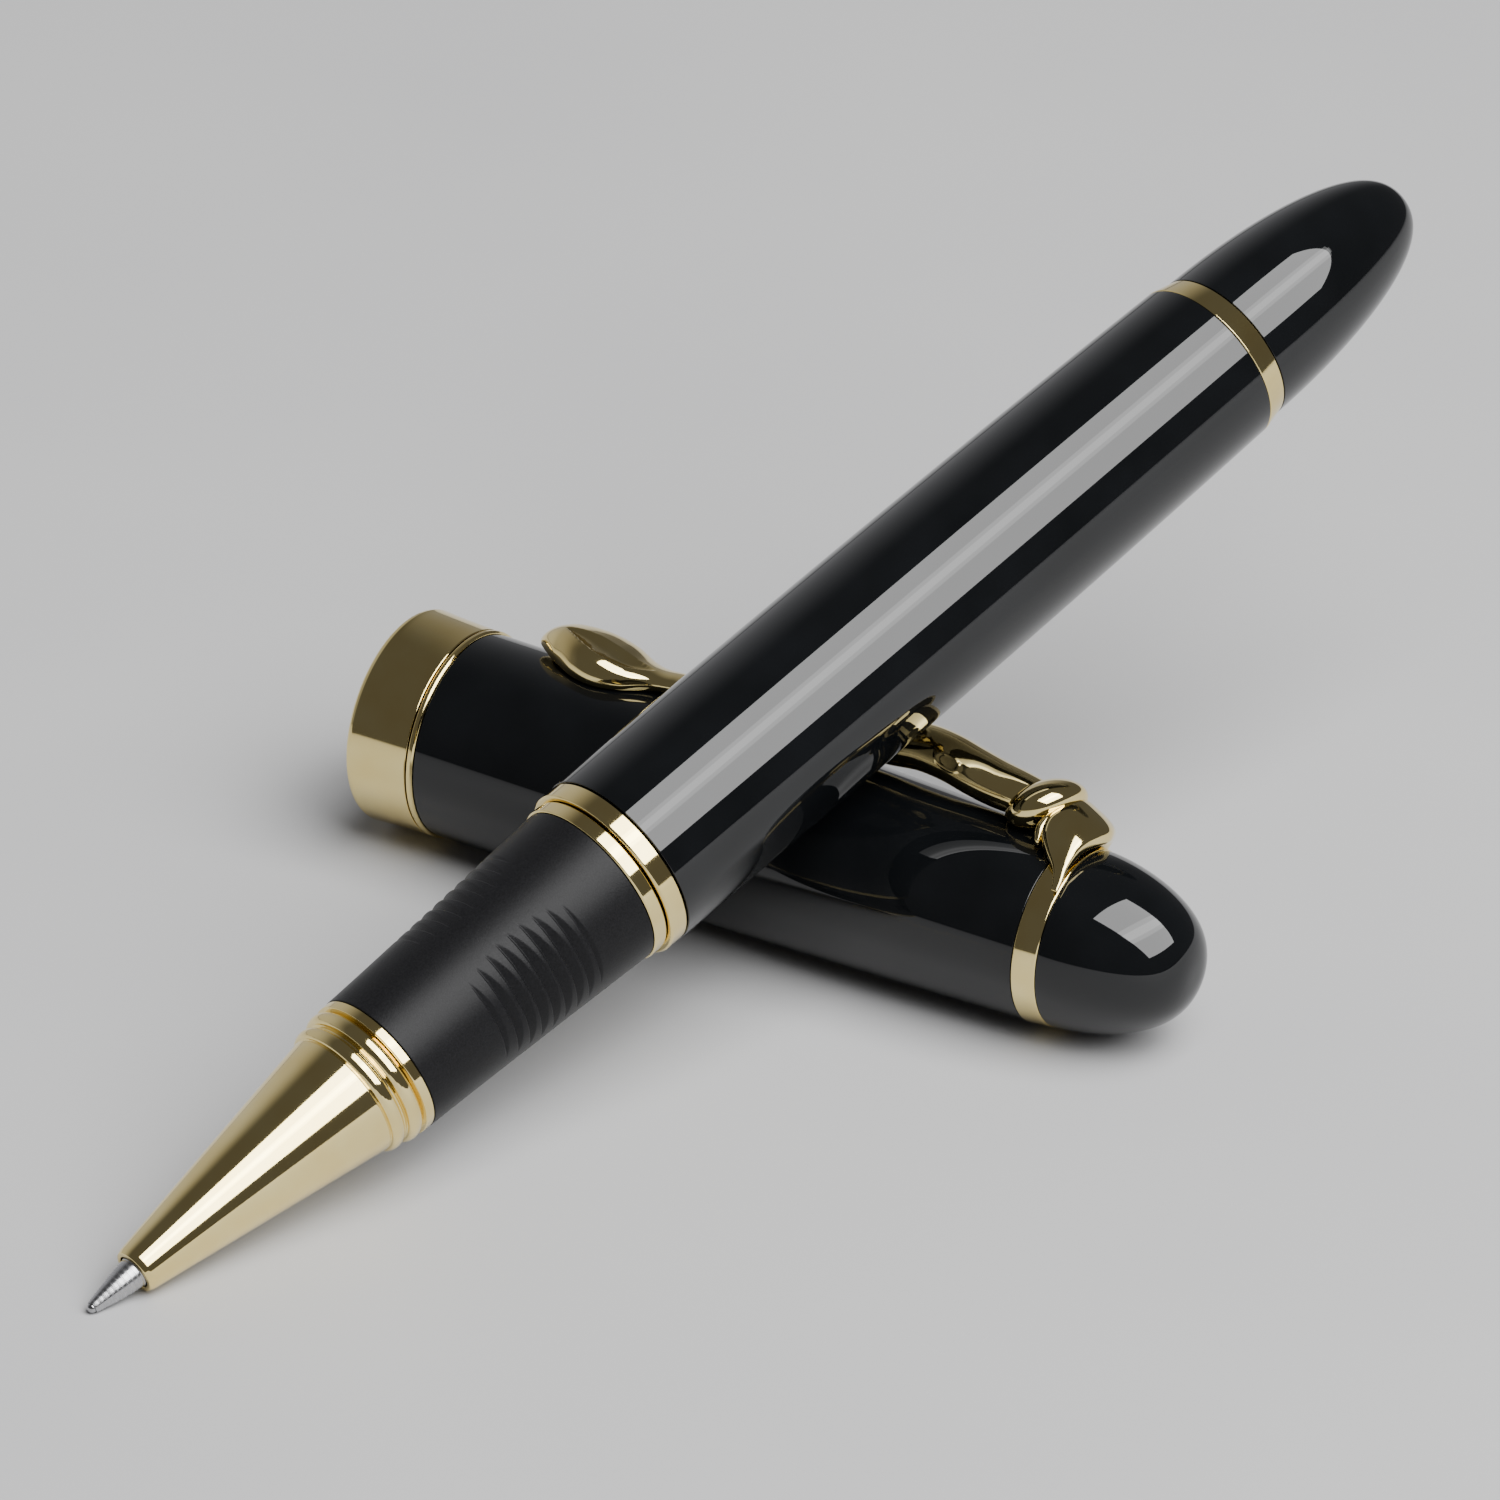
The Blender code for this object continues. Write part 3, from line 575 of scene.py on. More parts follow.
# %% Grip with its finger cuts
GRIP_END, GRIP_RADIUS, GRIP_FRONT_RADIUS = 44.75, 5.93, NOSE_RADIUS + 0.02
CORE_RADIUS = 4.25
FIRST_CUT, CUT_SPACING, CUTS = 31.85, 1.03, 9
CUT_STATIONS = FIRST_CUT + CUT_SPACING * np.arange(CUTS)
CUT_REACH = np.radians(46.0) * np.sqrt(1 - (0.62 * np.linspace(-1, 1, CUTS)) ** 2)  # tips follow an ellipse
CUT_WIDTHS = np.array([0.50, 0.74, 0.84, 0.88, 0.88, 0.88, 0.84, 0.74, 0.42])
CUT_DEPTH, CUT_RISE = 0.30, 0.2  # depth in its middle, and the share of its width in which it gets there
CUT_MIDDLES = np.radians([77.0, 197.0, -43.0])


def grip_radius(station):
    """The grip flares gently to the rear: a share of its length to the power 1.15."""
    share = np.clip((station - NOSE_END) / (GRIP_END - NOSE_END), 0, 1)
    return GRIP_FRONT_RADIUS + (GRIP_RADIUS - GRIP_FRONT_RADIUS) * share**1.15


def finger_cuts(station, angle):
    """Minus the depth of the deepest cut at each place. Along the axis a cut rises steeply to its full
    depth and fades over the rest of its width, and round the axis it fades as one minus the square of the
    angle's share."""
    shape = np.zeros(np.broadcast_shapes(station.shape, angle.shape))
    for middle in CUT_MIDDLES:
        away = np.angle(np.exp(1j * (angle - middle)))
        for start, reach, width in zip(CUT_STATIONS, CUT_REACH, CUT_WIDTHS):
            swell = np.clip(1 - (away / reach) ** 2, 0.0, 1.0)
            along = (station - start) / (width * np.maximum(swell, 1e-3) ** 0.7)
            side = np.minimum(along / CUT_RISE, (1 - along) / (1 - CUT_RISE))
            shape = np.maximum(shape, np.clip(side, 0, 1) * swell * (width / CUT_WIDTHS.max()))
    return -CUT_DEPTH * shape


front = NOSE_END + FIT_GAP
grip_outline = np.vstack(
    [
        curve_between(GRIP_END, 41.8, grip_radius, 6),
        curve_between(41.75, 31.6, grip_radius, 225),
        curve_between(31.5, front, grip_radius, 14),
        [[front, CORE_RADIUS + FIT_GAP], [GRIP_END, CORE_RADIUS + FIT_GAP]],
    ]
)
turned_piece(
    "grip",
    grip_outline,
    pen,
    satin_grip,
    "section",
    "grip_sleeve",
    steps=3,
    columns=320,
    relief=finger_cuts,
)

# %% [markdown]
# ## The core and the thread
# Under the grip runs a brass core, whose rear end carries the thread for the barrel. A thread is not a
# stack of rings: it climbs by its pitch in each turn. We get that from the relief as well. The phase of
# the thread is the station divided by the pitch minus the angle as a share of a turn, and its height
# depends on the phase only.

# %% Core with its thread
CORE_FRONT, CORE_END, CORE_BORE = 21.95, 54.00, 3.45
CORE_SEAT_RADIUS = 4.60
THREAD_RADIUS, THREAD_PITCH, THREAD_DEPTH = 4.88, 0.75, 0.30
THREAD_FROM, THREAD_TO, THREAD_FADE = 46.60, 53.30, 0.5
CORE_CHAMFER = 0.25
BORE_DIP = 0.001


def thread_relief(station, angle):
    """A rounded ridge of the thread's depth where the phase is near a whole number. It fades in and out at
    its two ends."""
    phase = station / THREAD_PITCH - angle / (2 * np.pi)
    ridge = np.clip(1.25 * np.cos(2 * np.pi * phase) + 0.5, 0.0, 1.0)
    starting, ending = (station - THREAD_FROM) / THREAD_FADE, (THREAD_TO - station) / THREAD_FADE
    return THREAD_DEPTH * ridge * np.clip(starting, 0, 1) * np.clip(ending, 0, 1)


THREAD_ROOT = THREAD_RADIUS - THREAD_DEPTH
core_outline = [[CORE_END, THREAD_ROOT - CORE_CHAMFER], [CORE_END - CORE_CHAMFER, THREAD_ROOT]]
core_outline += curve_between(53.6, 46.3, lambda station: np.full_like(station, THREAD_ROOT), 140).tolist()
core_outline += [[45.92, THREAD_ROOT], [45.88, CORE_SEAT_RADIUS], [GRIP_END + FIT_GAP, CORE_SEAT_RADIUS]]
core_outline += [[GRIP_END + FIT_GAP, CORE_RADIUS], [NOSE_END + FIT_GAP, CORE_RADIUS]]
core_outline += [[NOSE_END + FIT_GAP, CORE_SPIGOT_RADIUS], [CORE_FRONT, CORE_SPIGOT_RADIUS]]
core_outline += [[CORE_FRONT, CORE_BORE], [CORE_FRONT + 0.2, CORE_BORE - BORE_DIP], [CORE_END, CORE_BORE]]
piece_from_shells(
    "threaded_core",
    [lathe_shell(core_outline, 160, thread_relief)],
    pen,
    brass_in_pen,
    "section",
    "section_core",
)

# %% [markdown]
# ## Gold rings of the pen
# Three rings show on the pen: one behind the grip, one in front of the barrel, and a narrow one before
# the tail. A dark line between the first two is only the gap where the pen unscrews, so the gap is
# modelled and not drawn. Both outer edges of each ring are chamfered, since a chamfer is what makes a
# ring look cut from solid metal.

# %% Rings
SECTION_RING_END, SECTION_RING_RADIUS = 45.87, 6.06
BARREL_RING_END, BARREL_RING_RADIUS = 47.42, 6.40
BARREL_END, BARREL_END_RADIUS = 103.69, 6.011
TAIL_RING_END, TAIL_RADIUS = 105.39, 5.674
BUSH_RADIUS, TAIL_SPIGOT_RADIUS = 5.78, 4.50
UNSCREWING_GAP = 0.08


def ring_outline(front, end, front_radius, end_radius, bore, chamfer):
    """A ring with both its outer edges chamfered."""
    return [
        [end, end_radius - chamfer],
        [end - chamfer, end_radius],
        [front + chamfer, front_radius],
        [front, front_radius - chamfer],
        [front, bore],
        [end, bore],
    ]


front, radius, bore = GRIP_END + FIT_GAP, SECTION_RING_RADIUS, CORE_SEAT_RADIUS + FIT_GAP
grip_ring = ring_outline(front, SECTION_RING_END, radius, radius, bore, chamfer=0.10)
front, radius, bore = SECTION_RING_END + UNSCREWING_GAP, BARREL_RING_RADIUS, BUSH_RADIUS + FIT_GAP
barrel_ring = ring_outline(front, BARREL_RING_END, radius, radius, bore, chamfer=0.12)
bore = TAIL_SPIGOT_RADIUS + FIT_GAP
tail_ring = ring_outline(BARREL_END, TAIL_RING_END, BARREL_END_RADIUS, TAIL_RADIUS, bore, chamfer=0.06)
for name, outline, body, node in [
    ("grip_ring", grip_ring, "section", "section_ring"),
    ("barrel_front_ring", barrel_ring, "barrel", "barrel_ring"),
    ("barrel_tail_ring", tail_ring, "barrel", "tail_ring"),
]:
    turned_piece(name, outline, pen, gold_on_pen, body, node)

# %% [markdown]
# ## Barrel and tail
# The barrel looks straight, but it is fullest a little behind its front and falls away towards the tail.
# Long reflections show the smallest error in such a curve, so its radius is a formula and not a list of
# points. The tail is a bullet: its radius is (1 - x^p)^(1/q), where x is the share of the way to its tip.

# %% Barrel, tail and their bushes
BARREL_FRONT_RADIUS, BARREL_RADIUS, BARREL_FULLEST = 6.45, 6.50, 60.0
BARREL_WALL = 0.60
BUSH_FRONT, BUSH_END = 46.05, 54.20
PEN_LENGTH, TAIL_FULLNESS, TAIL_BLUNTNESS = 122.98, 1.9, 2.6


def barrel_radius(station):
    """Falls away from its fullest place as the square of the distance forwards and the power 2.2
    backwards."""
    ahead = np.clip((BARREL_FULLEST - station) / (BARREL_FULLEST - BARREL_RING_END), 0, 1)
    behind = np.clip((station - BARREL_FULLEST) / (BARREL_END - BARREL_FULLEST), 0, 1)
    drop_ahead = (BARREL_RADIUS - BARREL_FRONT_RADIUS) * ahead**2
    return BARREL_RADIUS - drop_ahead - (BARREL_RADIUS - BARREL_END_RADIUS) * behind**2.2


def dome_outline(front, end, radius, fullness, bluntness, count=60):
    """From the tip on the axis to the full radius, radius * (1 - x^fullness)^(1/bluntness), with the
    points crowded towards the tip."""
    x = np.cos(0.5 * np.pi * np.linspace(0.0, 1.0, count))
    height = radius * np.clip(1 - x**fullness, 0, 1) ** (1 / bluntness)
    outline = np.column_stack([front + (end - front) * x, height])
    outline[0, 1] = 0.0
    return outline


front, rear = BARREL_RING_END + FIT_GAP, BARREL_END - FIT_GAP
wall = curve_between(rear, front, barrel_radius, 90)
bore = curve_between(front, rear, lambda station: barrel_radius(station) - BARREL_WALL, 12)
outline = np.vstack([wall, bore])
turned_piece("lacquered_barrel", outline, pen, lacquer_on_pen, "barrel", "barrel_tube")

TAIL_BUSH_FRONT, TAIL_BUSH_END, TAIL_BUSH_RADIUS, TAIL_BUSH_BORE = 98.00, 110.90, 5.35, 4.00
TAIL_BORE, TAIL_BORE_END = 3.30, 117.70
front = TAIL_RING_END + FIT_GAP
tail = dome_outline(front, PEN_LENGTH, TAIL_RADIUS, TAIL_FULLNESS, TAIL_BLUNTNESS)
tail_inside = [[front, TAIL_SPIGOT_RADIUS + FIT_GAP], [TAIL_BUSH_END + FIT_GAP, TAIL_SPIGOT_RADIUS + FIT_GAP]]
tail_inside += [[TAIL_BUSH_END + FIT_GAP, TAIL_BORE], [TAIL_BORE_END, TAIL_BORE], [TAIL_BORE_END, 0.0]]
outline = np.vstack([tail, tail_inside])
turned_piece(
    "lacquered_tail", outline, pen, lacquer_on_pen, "barrel", "tail_dome", edge=0.04
)


def tube_outline(front, end, outer, inner):
    """A plain tube, from the rear of its outside to the rear of its bore."""
    return [[end, outer], [front, outer], [front, inner], [end, inner]]


front_bush = tube_outline(BUSH_FRONT, BUSH_END, BUSH_RADIUS, THREAD_RADIUS + RUN_GAP)
tail_bush = [[TAIL_BUSH_END, TAIL_SPIGOT_RADIUS], [BARREL_END - FIT_GAP, TAIL_SPIGOT_RADIUS]]
tail_bush += [[BARREL_END - FIT_GAP, TAIL_BUSH_RADIUS], [TAIL_BUSH_FRONT, TAIL_BUSH_RADIUS]]
tail_bush += [[TAIL_BUSH_FRONT, TAIL_BUSH_BORE], [TAIL_BUSH_END, TAIL_BUSH_BORE]]
for name, outline, node in [
    ("barrel_front_bush", front_bush, "barrel_bush"),
    ("barrel_tail_bush", tail_bush, "tail_bush"),
]:
    turned_piece(
        name, outline, pen, brass_in_pen, "barrel", node, edge=0.08, steps=3, columns=160
    )

# %% [markdown]
# ## Inside the barrel
# The refill, its plug, the cup that pushes on it and the spring show only when the barrel comes off. They
# could be left as plain cylinders, but someone will take the barrel off, so they get the same care. All
# but the spring are turned. The spring is a circle carried along a helix.

# %% Refill and spring
REFILL_RADIUS, REFILL_BORE = 2.90, 2.50
NECK_FRONT, TUBE_FRONT, REFILL_END = 7.20, 18.10, 110.50
PLUG_HEAD, PLUG_LENGTH, CUP_BASE, CUP_HEIGHT = 0.50, 3.50, 0.60, 1.20
neck = [[TUBE_FRONT + 3.0, REFILL_BORE - FIT_GAP], [TUBE_FRONT - FIT_GAP, REFILL_BORE - FIT_GAP]]
neck += [[TUBE_FRONT - FIT_GAP, REFILL_RADIUS], [17.00, 2.75], [12.00, 2.10], [NECK_FRONT, 1.45]]
neck += [[NECK_FRONT, 1.19], [9.30, 1.19], [9.30, 0.50], [TUBE_FRONT + 3.0, 0.50]]
head_front, plug_front = REFILL_END - PLUG_HEAD, REFILL_END - PLUG_LENGTH
plug = [[REFILL_END, 0.0], [REFILL_END, REFILL_RADIUS], [head_front, REFILL_RADIUS]]
plug += [[head_front, REFILL_BORE - FIT_GAP], [plug_front, REFILL_BORE - FIT_GAP], [plug_front, 0.0]]
cup_front = REFILL_END + RUN_GAP
cup_step, cup_end = cup_front + CUP_BASE, cup_front + CUP_HEIGHT
cup = [[cup_end, 1.60], [cup_step, 1.60], [cup_step, REFILL_RADIUS], [cup_front, REFILL_RADIUS]]
cup += [[cup_front, 0.80], [cup_end, 0.80]]
ink_tube = tube_outline(TUBE_FRONT, head_front - FIT_GAP, REFILL_RADIUS, REFILL_BORE)
small_pieces = [
    ("refill_nose", neck, black_plastic_pen, "refill", "black_plastic", "refill_neck"),
    ("refill_barrel", ink_tube, refill_body, "refill", "ink_tube", "refill_tube"),
    ("refill_end_plug", plug, black_plastic_pen, "refill", "black_plastic", "refill_plug"),
    ("push_cup", cup, black_plastic_pen, "thrust_cup", "black_plastic", "spring_follower"),
]
for name, outline, material, body, slot, node in small_pieces:
    turned_piece(name, outline, pen, material, body, node, edge=0.08, steps=3, columns=128)

SPRING_END, SPRING_RADIUS, SPRING_WIRE, SPRING_TURNS = 117.30, 2.40, 0.28, 4.5


def helix_shell(start, end, radius, wire, turns, columns=16):
    """A circle carried along a helix. Its centre is (R cos a, R sin a, start + rise a), and the circle
    lies across the path: it uses the outward direction and the direction square to that and to the
    path."""
    angle = np.linspace(0.0, 2 * np.pi * turns, int(turns * 72))
    height = start + (end - start) * angle / angle[-1]
    outward = np.column_stack([np.cos(angle), np.sin(angle), np.zeros_like(angle)])
    centre = radius * outward + np.column_stack([np.zeros((len(angle), 2)), height])
    path = np.gradient(centre, axis=0)
    path /= np.linalg.norm(path, axis=1)[:, None]
    across = np.cross(path, outward)
    around = np.linspace(0.0, 2 * np.pi, columns, endpoint=False)[None, :, None]
    grid = centre[:, None] + wire * (np.cos(around) * outward[:, None] + np.sin(around) * across[:, None])
    return grid_shell(grid, False, centre[0], centre[-1])


spring_start = cup_step + RUN_GAP + SPRING_WIRE
piece_from_shells(
    "push_spring",
    [helix_shell(spring_start, SPRING_END, SPRING_RADIUS, SPRING_WIRE, SPRING_TURNS)],
    pen,
    spring_steel,
    "spring",
    "refill_spring",
)

# %% [markdown]
# ## The cap
# The cap's wide gold band has a rolled lip at the mouth and a thin raised rim where it meets the lacquer.
# The cap narrows towards its crown as the square of the distance, and ends in a crown that is rounder
# than the tail. Its mouth is open, so the tube's wall and the liner inside it are real surfaces too.

# %% Band, rim and tube of the cap
LIP_RADIUS, MOUTH_BORE = 7.595, 6.20
BAND_END, BAND_END_RADIUS = 4.80, 7.38
RIM_END, RIM_RADIUS = 5.374, 7.40
CAP_RADIUS, CAP_END_RADIUS, CAP_END = 7.22, 6.26, 52.06
CLIP_RING_END, CLIP_RING_FRONT_RADIUS, CLIP_RING_END_RADIUS = 53.776, 6.32, 6.14
CAP_FRONT, CAP_SEAT_RADIUS, CAP_WALL = 0.75, 6.95, 0.60
SNAP_RADIUS, SNAP_END = 6.50, 5.50


def cap_radius(station):
    """Narrows to the crown end as the square of the distance from the rim."""
    share = np.clip((station - RIM_END) / (CAP_END - RIM_END), 0, 1)
    return CAP_RADIUS - (CAP_RADIUS - CAP_END_RADIUS) * share**2


def band_radius(station):
    """Flares towards the lip as the power 1.4 of the distance from the band's rear."""
    return BAND_END_RADIUS + (LIP_RADIUS - BAND_END_RADIUS) * (1 - station / BAND_END) ** 1.4


seat, flange = CAP_SEAT_RADIUS + FIT_GAP, CAP_FRONT - FIT_GAP
band = [[BAND_END, seat], [BAND_END, BAND_END_RADIUS - 0.04], [BAND_END - 0.05, BAND_END_RADIUS]]
band += curve_between(4.6, 0.62, band_radius, 16).tolist()
band += [[0.45, LIP_RADIUS - 0.02], [0.22, LIP_RADIUS - 0.08], [0.07, LIP_RADIUS - 0.21]]
band += [[0.0, LIP_RADIUS - 0.40], [0.0, MOUTH_BORE], [flange, MOUTH_BORE], [flange, seat]]
rim = ring_outline(BAND_END + FIT_GAP, RIM_END, RIM_RADIUS, RIM_RADIUS, seat, chamfer=0.14)
turned_piece("mouth_band", band, cap, gold_on_cap, "cap", "lip_band")
turned_piece("mouth_band_rim", rim, cap, gold_on_cap, "cap", "lip_rim")
tube_front, tube_end = RIM_END + FIT_GAP, CAP_END - FIT_GAP
cap_outline = np.vstack(
    [
        curve_between(tube_end, tube_front, cap_radius, 90),
        [[tube_front, CAP_SEAT_RADIUS], [CAP_FRONT, CAP_SEAT_RADIUS]],
        [[CAP_FRONT, SNAP_RADIUS + FIT_GAP], [SNAP_END + FIT_GAP, SNAP_RADIUS + FIT_GAP]],
        curve_between(6.5, tube_end, lambda station: cap_radius(station) - CAP_WALL, 30),
    ]
)
turned_piece("lacquered_cap", cap_outline, cap, lacquer_on_cap, "cap", "cap_tube")

# %% [markdown]
# ### Inside the cap, and its crown
# A plastic ring inside the mouth clicks over the pen's ring, and a closed liner keeps the point from
# drying. At the other end a screw draws the crown, the clip's ring and a bush together. The crown's
# outline is the same kind of bullet as the tail's, only rounder.

# %% Snap ring, liner, crown and its screw
CAP_LENGTH, CROWN_FULLNESS, CROWN_BLUNTNESS, CROWN_INSET = 62.45, 1.6, 2.7, 0.04
SNAP_BORE, SNAP_BEAD, SNAP_BEAD_STATION, SNAP_BEAD_HALF = 6.12, 5.99, 1.95, 0.5
LINER_FRONT, LINER_END = 20.90, 48.60
CAP_BUSH_FRONT, CAP_BUSH_END, CAP_BUSH_RADIUS = 48.90, 52.00, 5.58
SCREW_RADIUS, SCREW_FRONT, SCREW_END = 2.00, 49.20, 58.80
CROWN_HOLLOW_END, CROWN_HOLLOW_RADIUS = 56.80, 4.50
snap = [[SNAP_END, SNAP_RADIUS], [CAP_FRONT, SNAP_RADIUS], [CAP_FRONT, SNAP_BORE]]
snap += [[SNAP_BEAD_STATION - SNAP_BEAD_HALF, SNAP_BORE], [SNAP_BEAD_STATION, SNAP_BEAD]]
snap += [[SNAP_BEAD_STATION + SNAP_BEAD_HALF, SNAP_BORE], [SNAP_END, SNAP_BORE]]
liner_sides = curve_between(
    LINER_END, LINER_FRONT, lambda station: cap_radius(station) - CAP_WALL - RUN_GAP, 12
)
liner_bore = [[LINER_FRONT, 5.50], [26.0, 5.30], [44.0, 3.60], [47.6, 2.60], [47.6, 0.0]]
liner = np.vstack([[[LINER_END, 0.0]], liner_sides, liner_bore])
crown_front, bush_bore = CLIP_RING_END + FIT_GAP, SCREW_RADIUS + FIT_GAP
crown_radius = CLIP_RING_END_RADIUS - CROWN_INSET
crown = dome_outline(crown_front, CAP_LENGTH, crown_radius, CROWN_FULLNESS, CROWN_BLUNTNESS)
crown_inside = [[crown_front, CROWN_HOLLOW_RADIUS], [CROWN_HOLLOW_END, CROWN_HOLLOW_RADIUS]]
crown_inside += [[CROWN_HOLLOW_END, bush_bore], [SCREW_END + FIT_GAP, bush_bore], [SCREW_END + FIT_GAP, 0.0]]
crown_bush = tube_outline(CAP_BUSH_FRONT, CAP_BUSH_END, CAP_BUSH_RADIUS, bush_bore)
radii = CLIP_RING_FRONT_RADIUS, CLIP_RING_END_RADIUS
clip_ring = ring_outline(CAP_END, CLIP_RING_END, *radii, bush_bore, chamfer=0.08)
crown_screw = [[SCREW_END, 0.0], [SCREW_END, SCREW_RADIUS], [SCREW_FRONT, SCREW_RADIUS], [SCREW_FRONT, 0.0]]
crown_outline = np.vstack([crown, crown_inside])
cap_pieces = [
    ("mouth_snap_ring", snap, black_plastic_cap, "black_plastic", "snap_ring", 192),
    ("cap_inner_liner", liner, black_plastic_cap, "black_plastic", "cap_liner", 192),
    ("crown_bush", crown_bush, brass_in_cap, "plain_brass", "cap_bush", 128),
    ("crown_fixing_screw", crown_screw, brass_in_cap, "plain_brass", "crown_screw", 96),
    ("lacquered_crown", crown_outline, lacquer_on_cap, "black_lacquer", "cap_crown", 256),
    ("clip_seat_ring", clip_ring, gold_on_cap, "polished_gold", "clip_ring", 256),
]
for name, outline, material, slot, node, columns in cap_pieces:
    turned_piece(name, outline, cap, material, "cap", node, columns=columns)

# %% [markdown]
# ## The clip
# The clip is a casting. A rounded bar runs along the cap from a teardrop foot with a dished top, past the
# place where the pen lies, to a knot of two folds that wraps over the cap and ends in a pointed tongue on
# its ring. It could be sculpted, but a table of sections is easier to correct: each number is one
# distance that can be measured.
#
# The bar is an ellipse carried along the cap. A short table gives its middle, its half thickness and its
# half width at a few stations, and a smooth curve runs through them. Dishes and rings are reliefs on that
# surface.


# %% The clip's bar
def smooth_through(stations, values, wanted):
    """A cubic through each pair of points whose slope at a point is that of the line between its
    neighbours."""
    stations, values = np.asarray(stations, float), np.asarray(values, float)
    slope = np.gradient(values, stations, axis=0)
    i = np.clip(np.searchsorted(stations, wanted) - 1, 0, len(stations) - 2)
    span = stations[i + 1] - stations[i]
    t = (wanted - stations[i]) / span
    t, span = (t[:, None], span[:, None]) if values.ndim > 1 else (t, span)
    rise, rise_slope = t * t * (3 - 2 * t), t * (1 - t) ** 2
    fall_slope = t * t * (t - 1)
    straight = values[i] * (1 - rise) + values[i + 1] * rise
    return straight + span * (slope[i] * rise_slope + slope[i + 1] * fall_slope)


# station, middle's distance from the cap's axis, half thickness, half width
BAR = np.array(
    [
        (9.45, 8.05, 0.95, 1.70),
        (10.50, 8.32, 1.16, 2.15),
        (12.00, 8.25, 1.45, 2.70),
        (13.60, 7.98, 1.66, 3.20),
        (15.30, 7.72, 1.58, 3.35),
        (17.40, 7.52, 1.22, 2.60),
        (19.00, 7.78, 0.85, 1.70),
        (20.50, 7.95, 0.80, 1.45),
        (24.00, 8.25, 0.95, 1.55),
        (28.00, 8.50, 1.15, 1.68),
        (32.00, 8.68, 1.36, 1.86),
        (35.00, 8.80, 1.50, 2.00),
        (37.00, 8.82, 1.58, 2.04),
        (40.00, 9.12, 1.62, 2.10),
        (41.80, 8.96, 1.62, 2.10),
        (43.60, 8.60, 1.62, 2.08),
        (45.40, 8.30, 1.58, 2.00),
        (47.00, 8.15, 1.50, 1.95),
        (50.00, 7.90, 1.20, 1.80),
    ]
)
BAR_TIP = BAR[0, 0]
BULB_NOSE = 2.4  # over this length the bulb's end rounds off
CROWDED_LENGTH, CROWDED_ROWS = 1.6, 60  # where the rows lie closest together, at the bulb's very end
BULB_MIDDLE, BULB_REACH, BULB_FULLNESS = 14.5, 3.5, 0.9  # where the section is fuller than an ellipse
CLIP_GAP = 0.12  # nowhere nearer the cap than this
DISH_MIDDLE, DISH_HALF_LENGTH, DISH_ANGLE, DISH_HALF_WIDTH, DISH_DEPTH = 15.2, 3.6, 24.0, 1.05, 0.45
RING_MARKS = [(36.9, 42.0), (39.3, 42.0), (42.4, 80.0)]  # station and degrees from the top
MARK_HALF_LENGTH, MARK_HALF_HEIGHT = 0.90, 0.48
MARK_RIDGE, MARK_RIDGE_WIDTH, MARK_DISH = 0.06, 0.16, 0.04


def cap_surface(station):
    """Outer radius of the cap at a station, with its clip ring and crown."""
    share = np.clip((station - CLIP_RING_END) / (CAP_LENGTH - CLIP_RING_END), 0, 1)
    crown_there = CLIP_RING_END_RADIUS * (1 - share**CROWN_FULLNESS) ** (1 / CROWN_BLUNTNESS)
    behind_tube = np.where(share > 0, crown_there, CLIP_RING_FRONT_RADIUS)
    return np.where(station < CAP_END, cap_radius(station), behind_tube)


def kept_off_the_cap(out, side, station):
    """Moves points straight out from the cap's axis where they would come nearer its surface than the
    gap."""
    push = np.maximum(1.0, (cap_surface(station) + CLIP_GAP) / np.hypot(out, side))
    return out * push, side * push


def bar_relief(station, angle, thickness, width):
    """The dish on the bulb and the ring marks on the stem, in millimetres square to the surface.
    Distances round the bar are an angle times the ellipse's radius there."""
    radius = np.hypot(thickness * np.sin(angle), width * np.cos(angle))
    away = np.angle(np.exp(1j * (angle - np.radians(DISH_ANGLE)))) * radius
    lengthwise = (station - DISH_MIDDLE) / DISH_HALF_LENGTH
    lens = DISH_HALF_WIDTH * np.clip(1 - lengthwise**2, 0, 1) + 1e-6
    depth = np.clip(1 - (away / lens) ** 2, 0, 1) * np.clip(1 - lengthwise**2, 0, 1)
    relief = -DISH_DEPTH * depth**0.7
    for middle, degrees in RING_MARKS:
        away = np.angle(np.exp(1j * (angle - np.radians(degrees)))) * radius
        reach = np.hypot((station - middle) / MARK_HALF_LENGTH, away / MARK_HALF_HEIGHT)
        relief = relief + MARK_RIDGE * np.exp(-(((reach - 1) / MARK_RIDGE_WIDTH) ** 2))
        relief = relief - MARK_DISH * np.clip(1 - reach**2, 0, 1)
    return relief


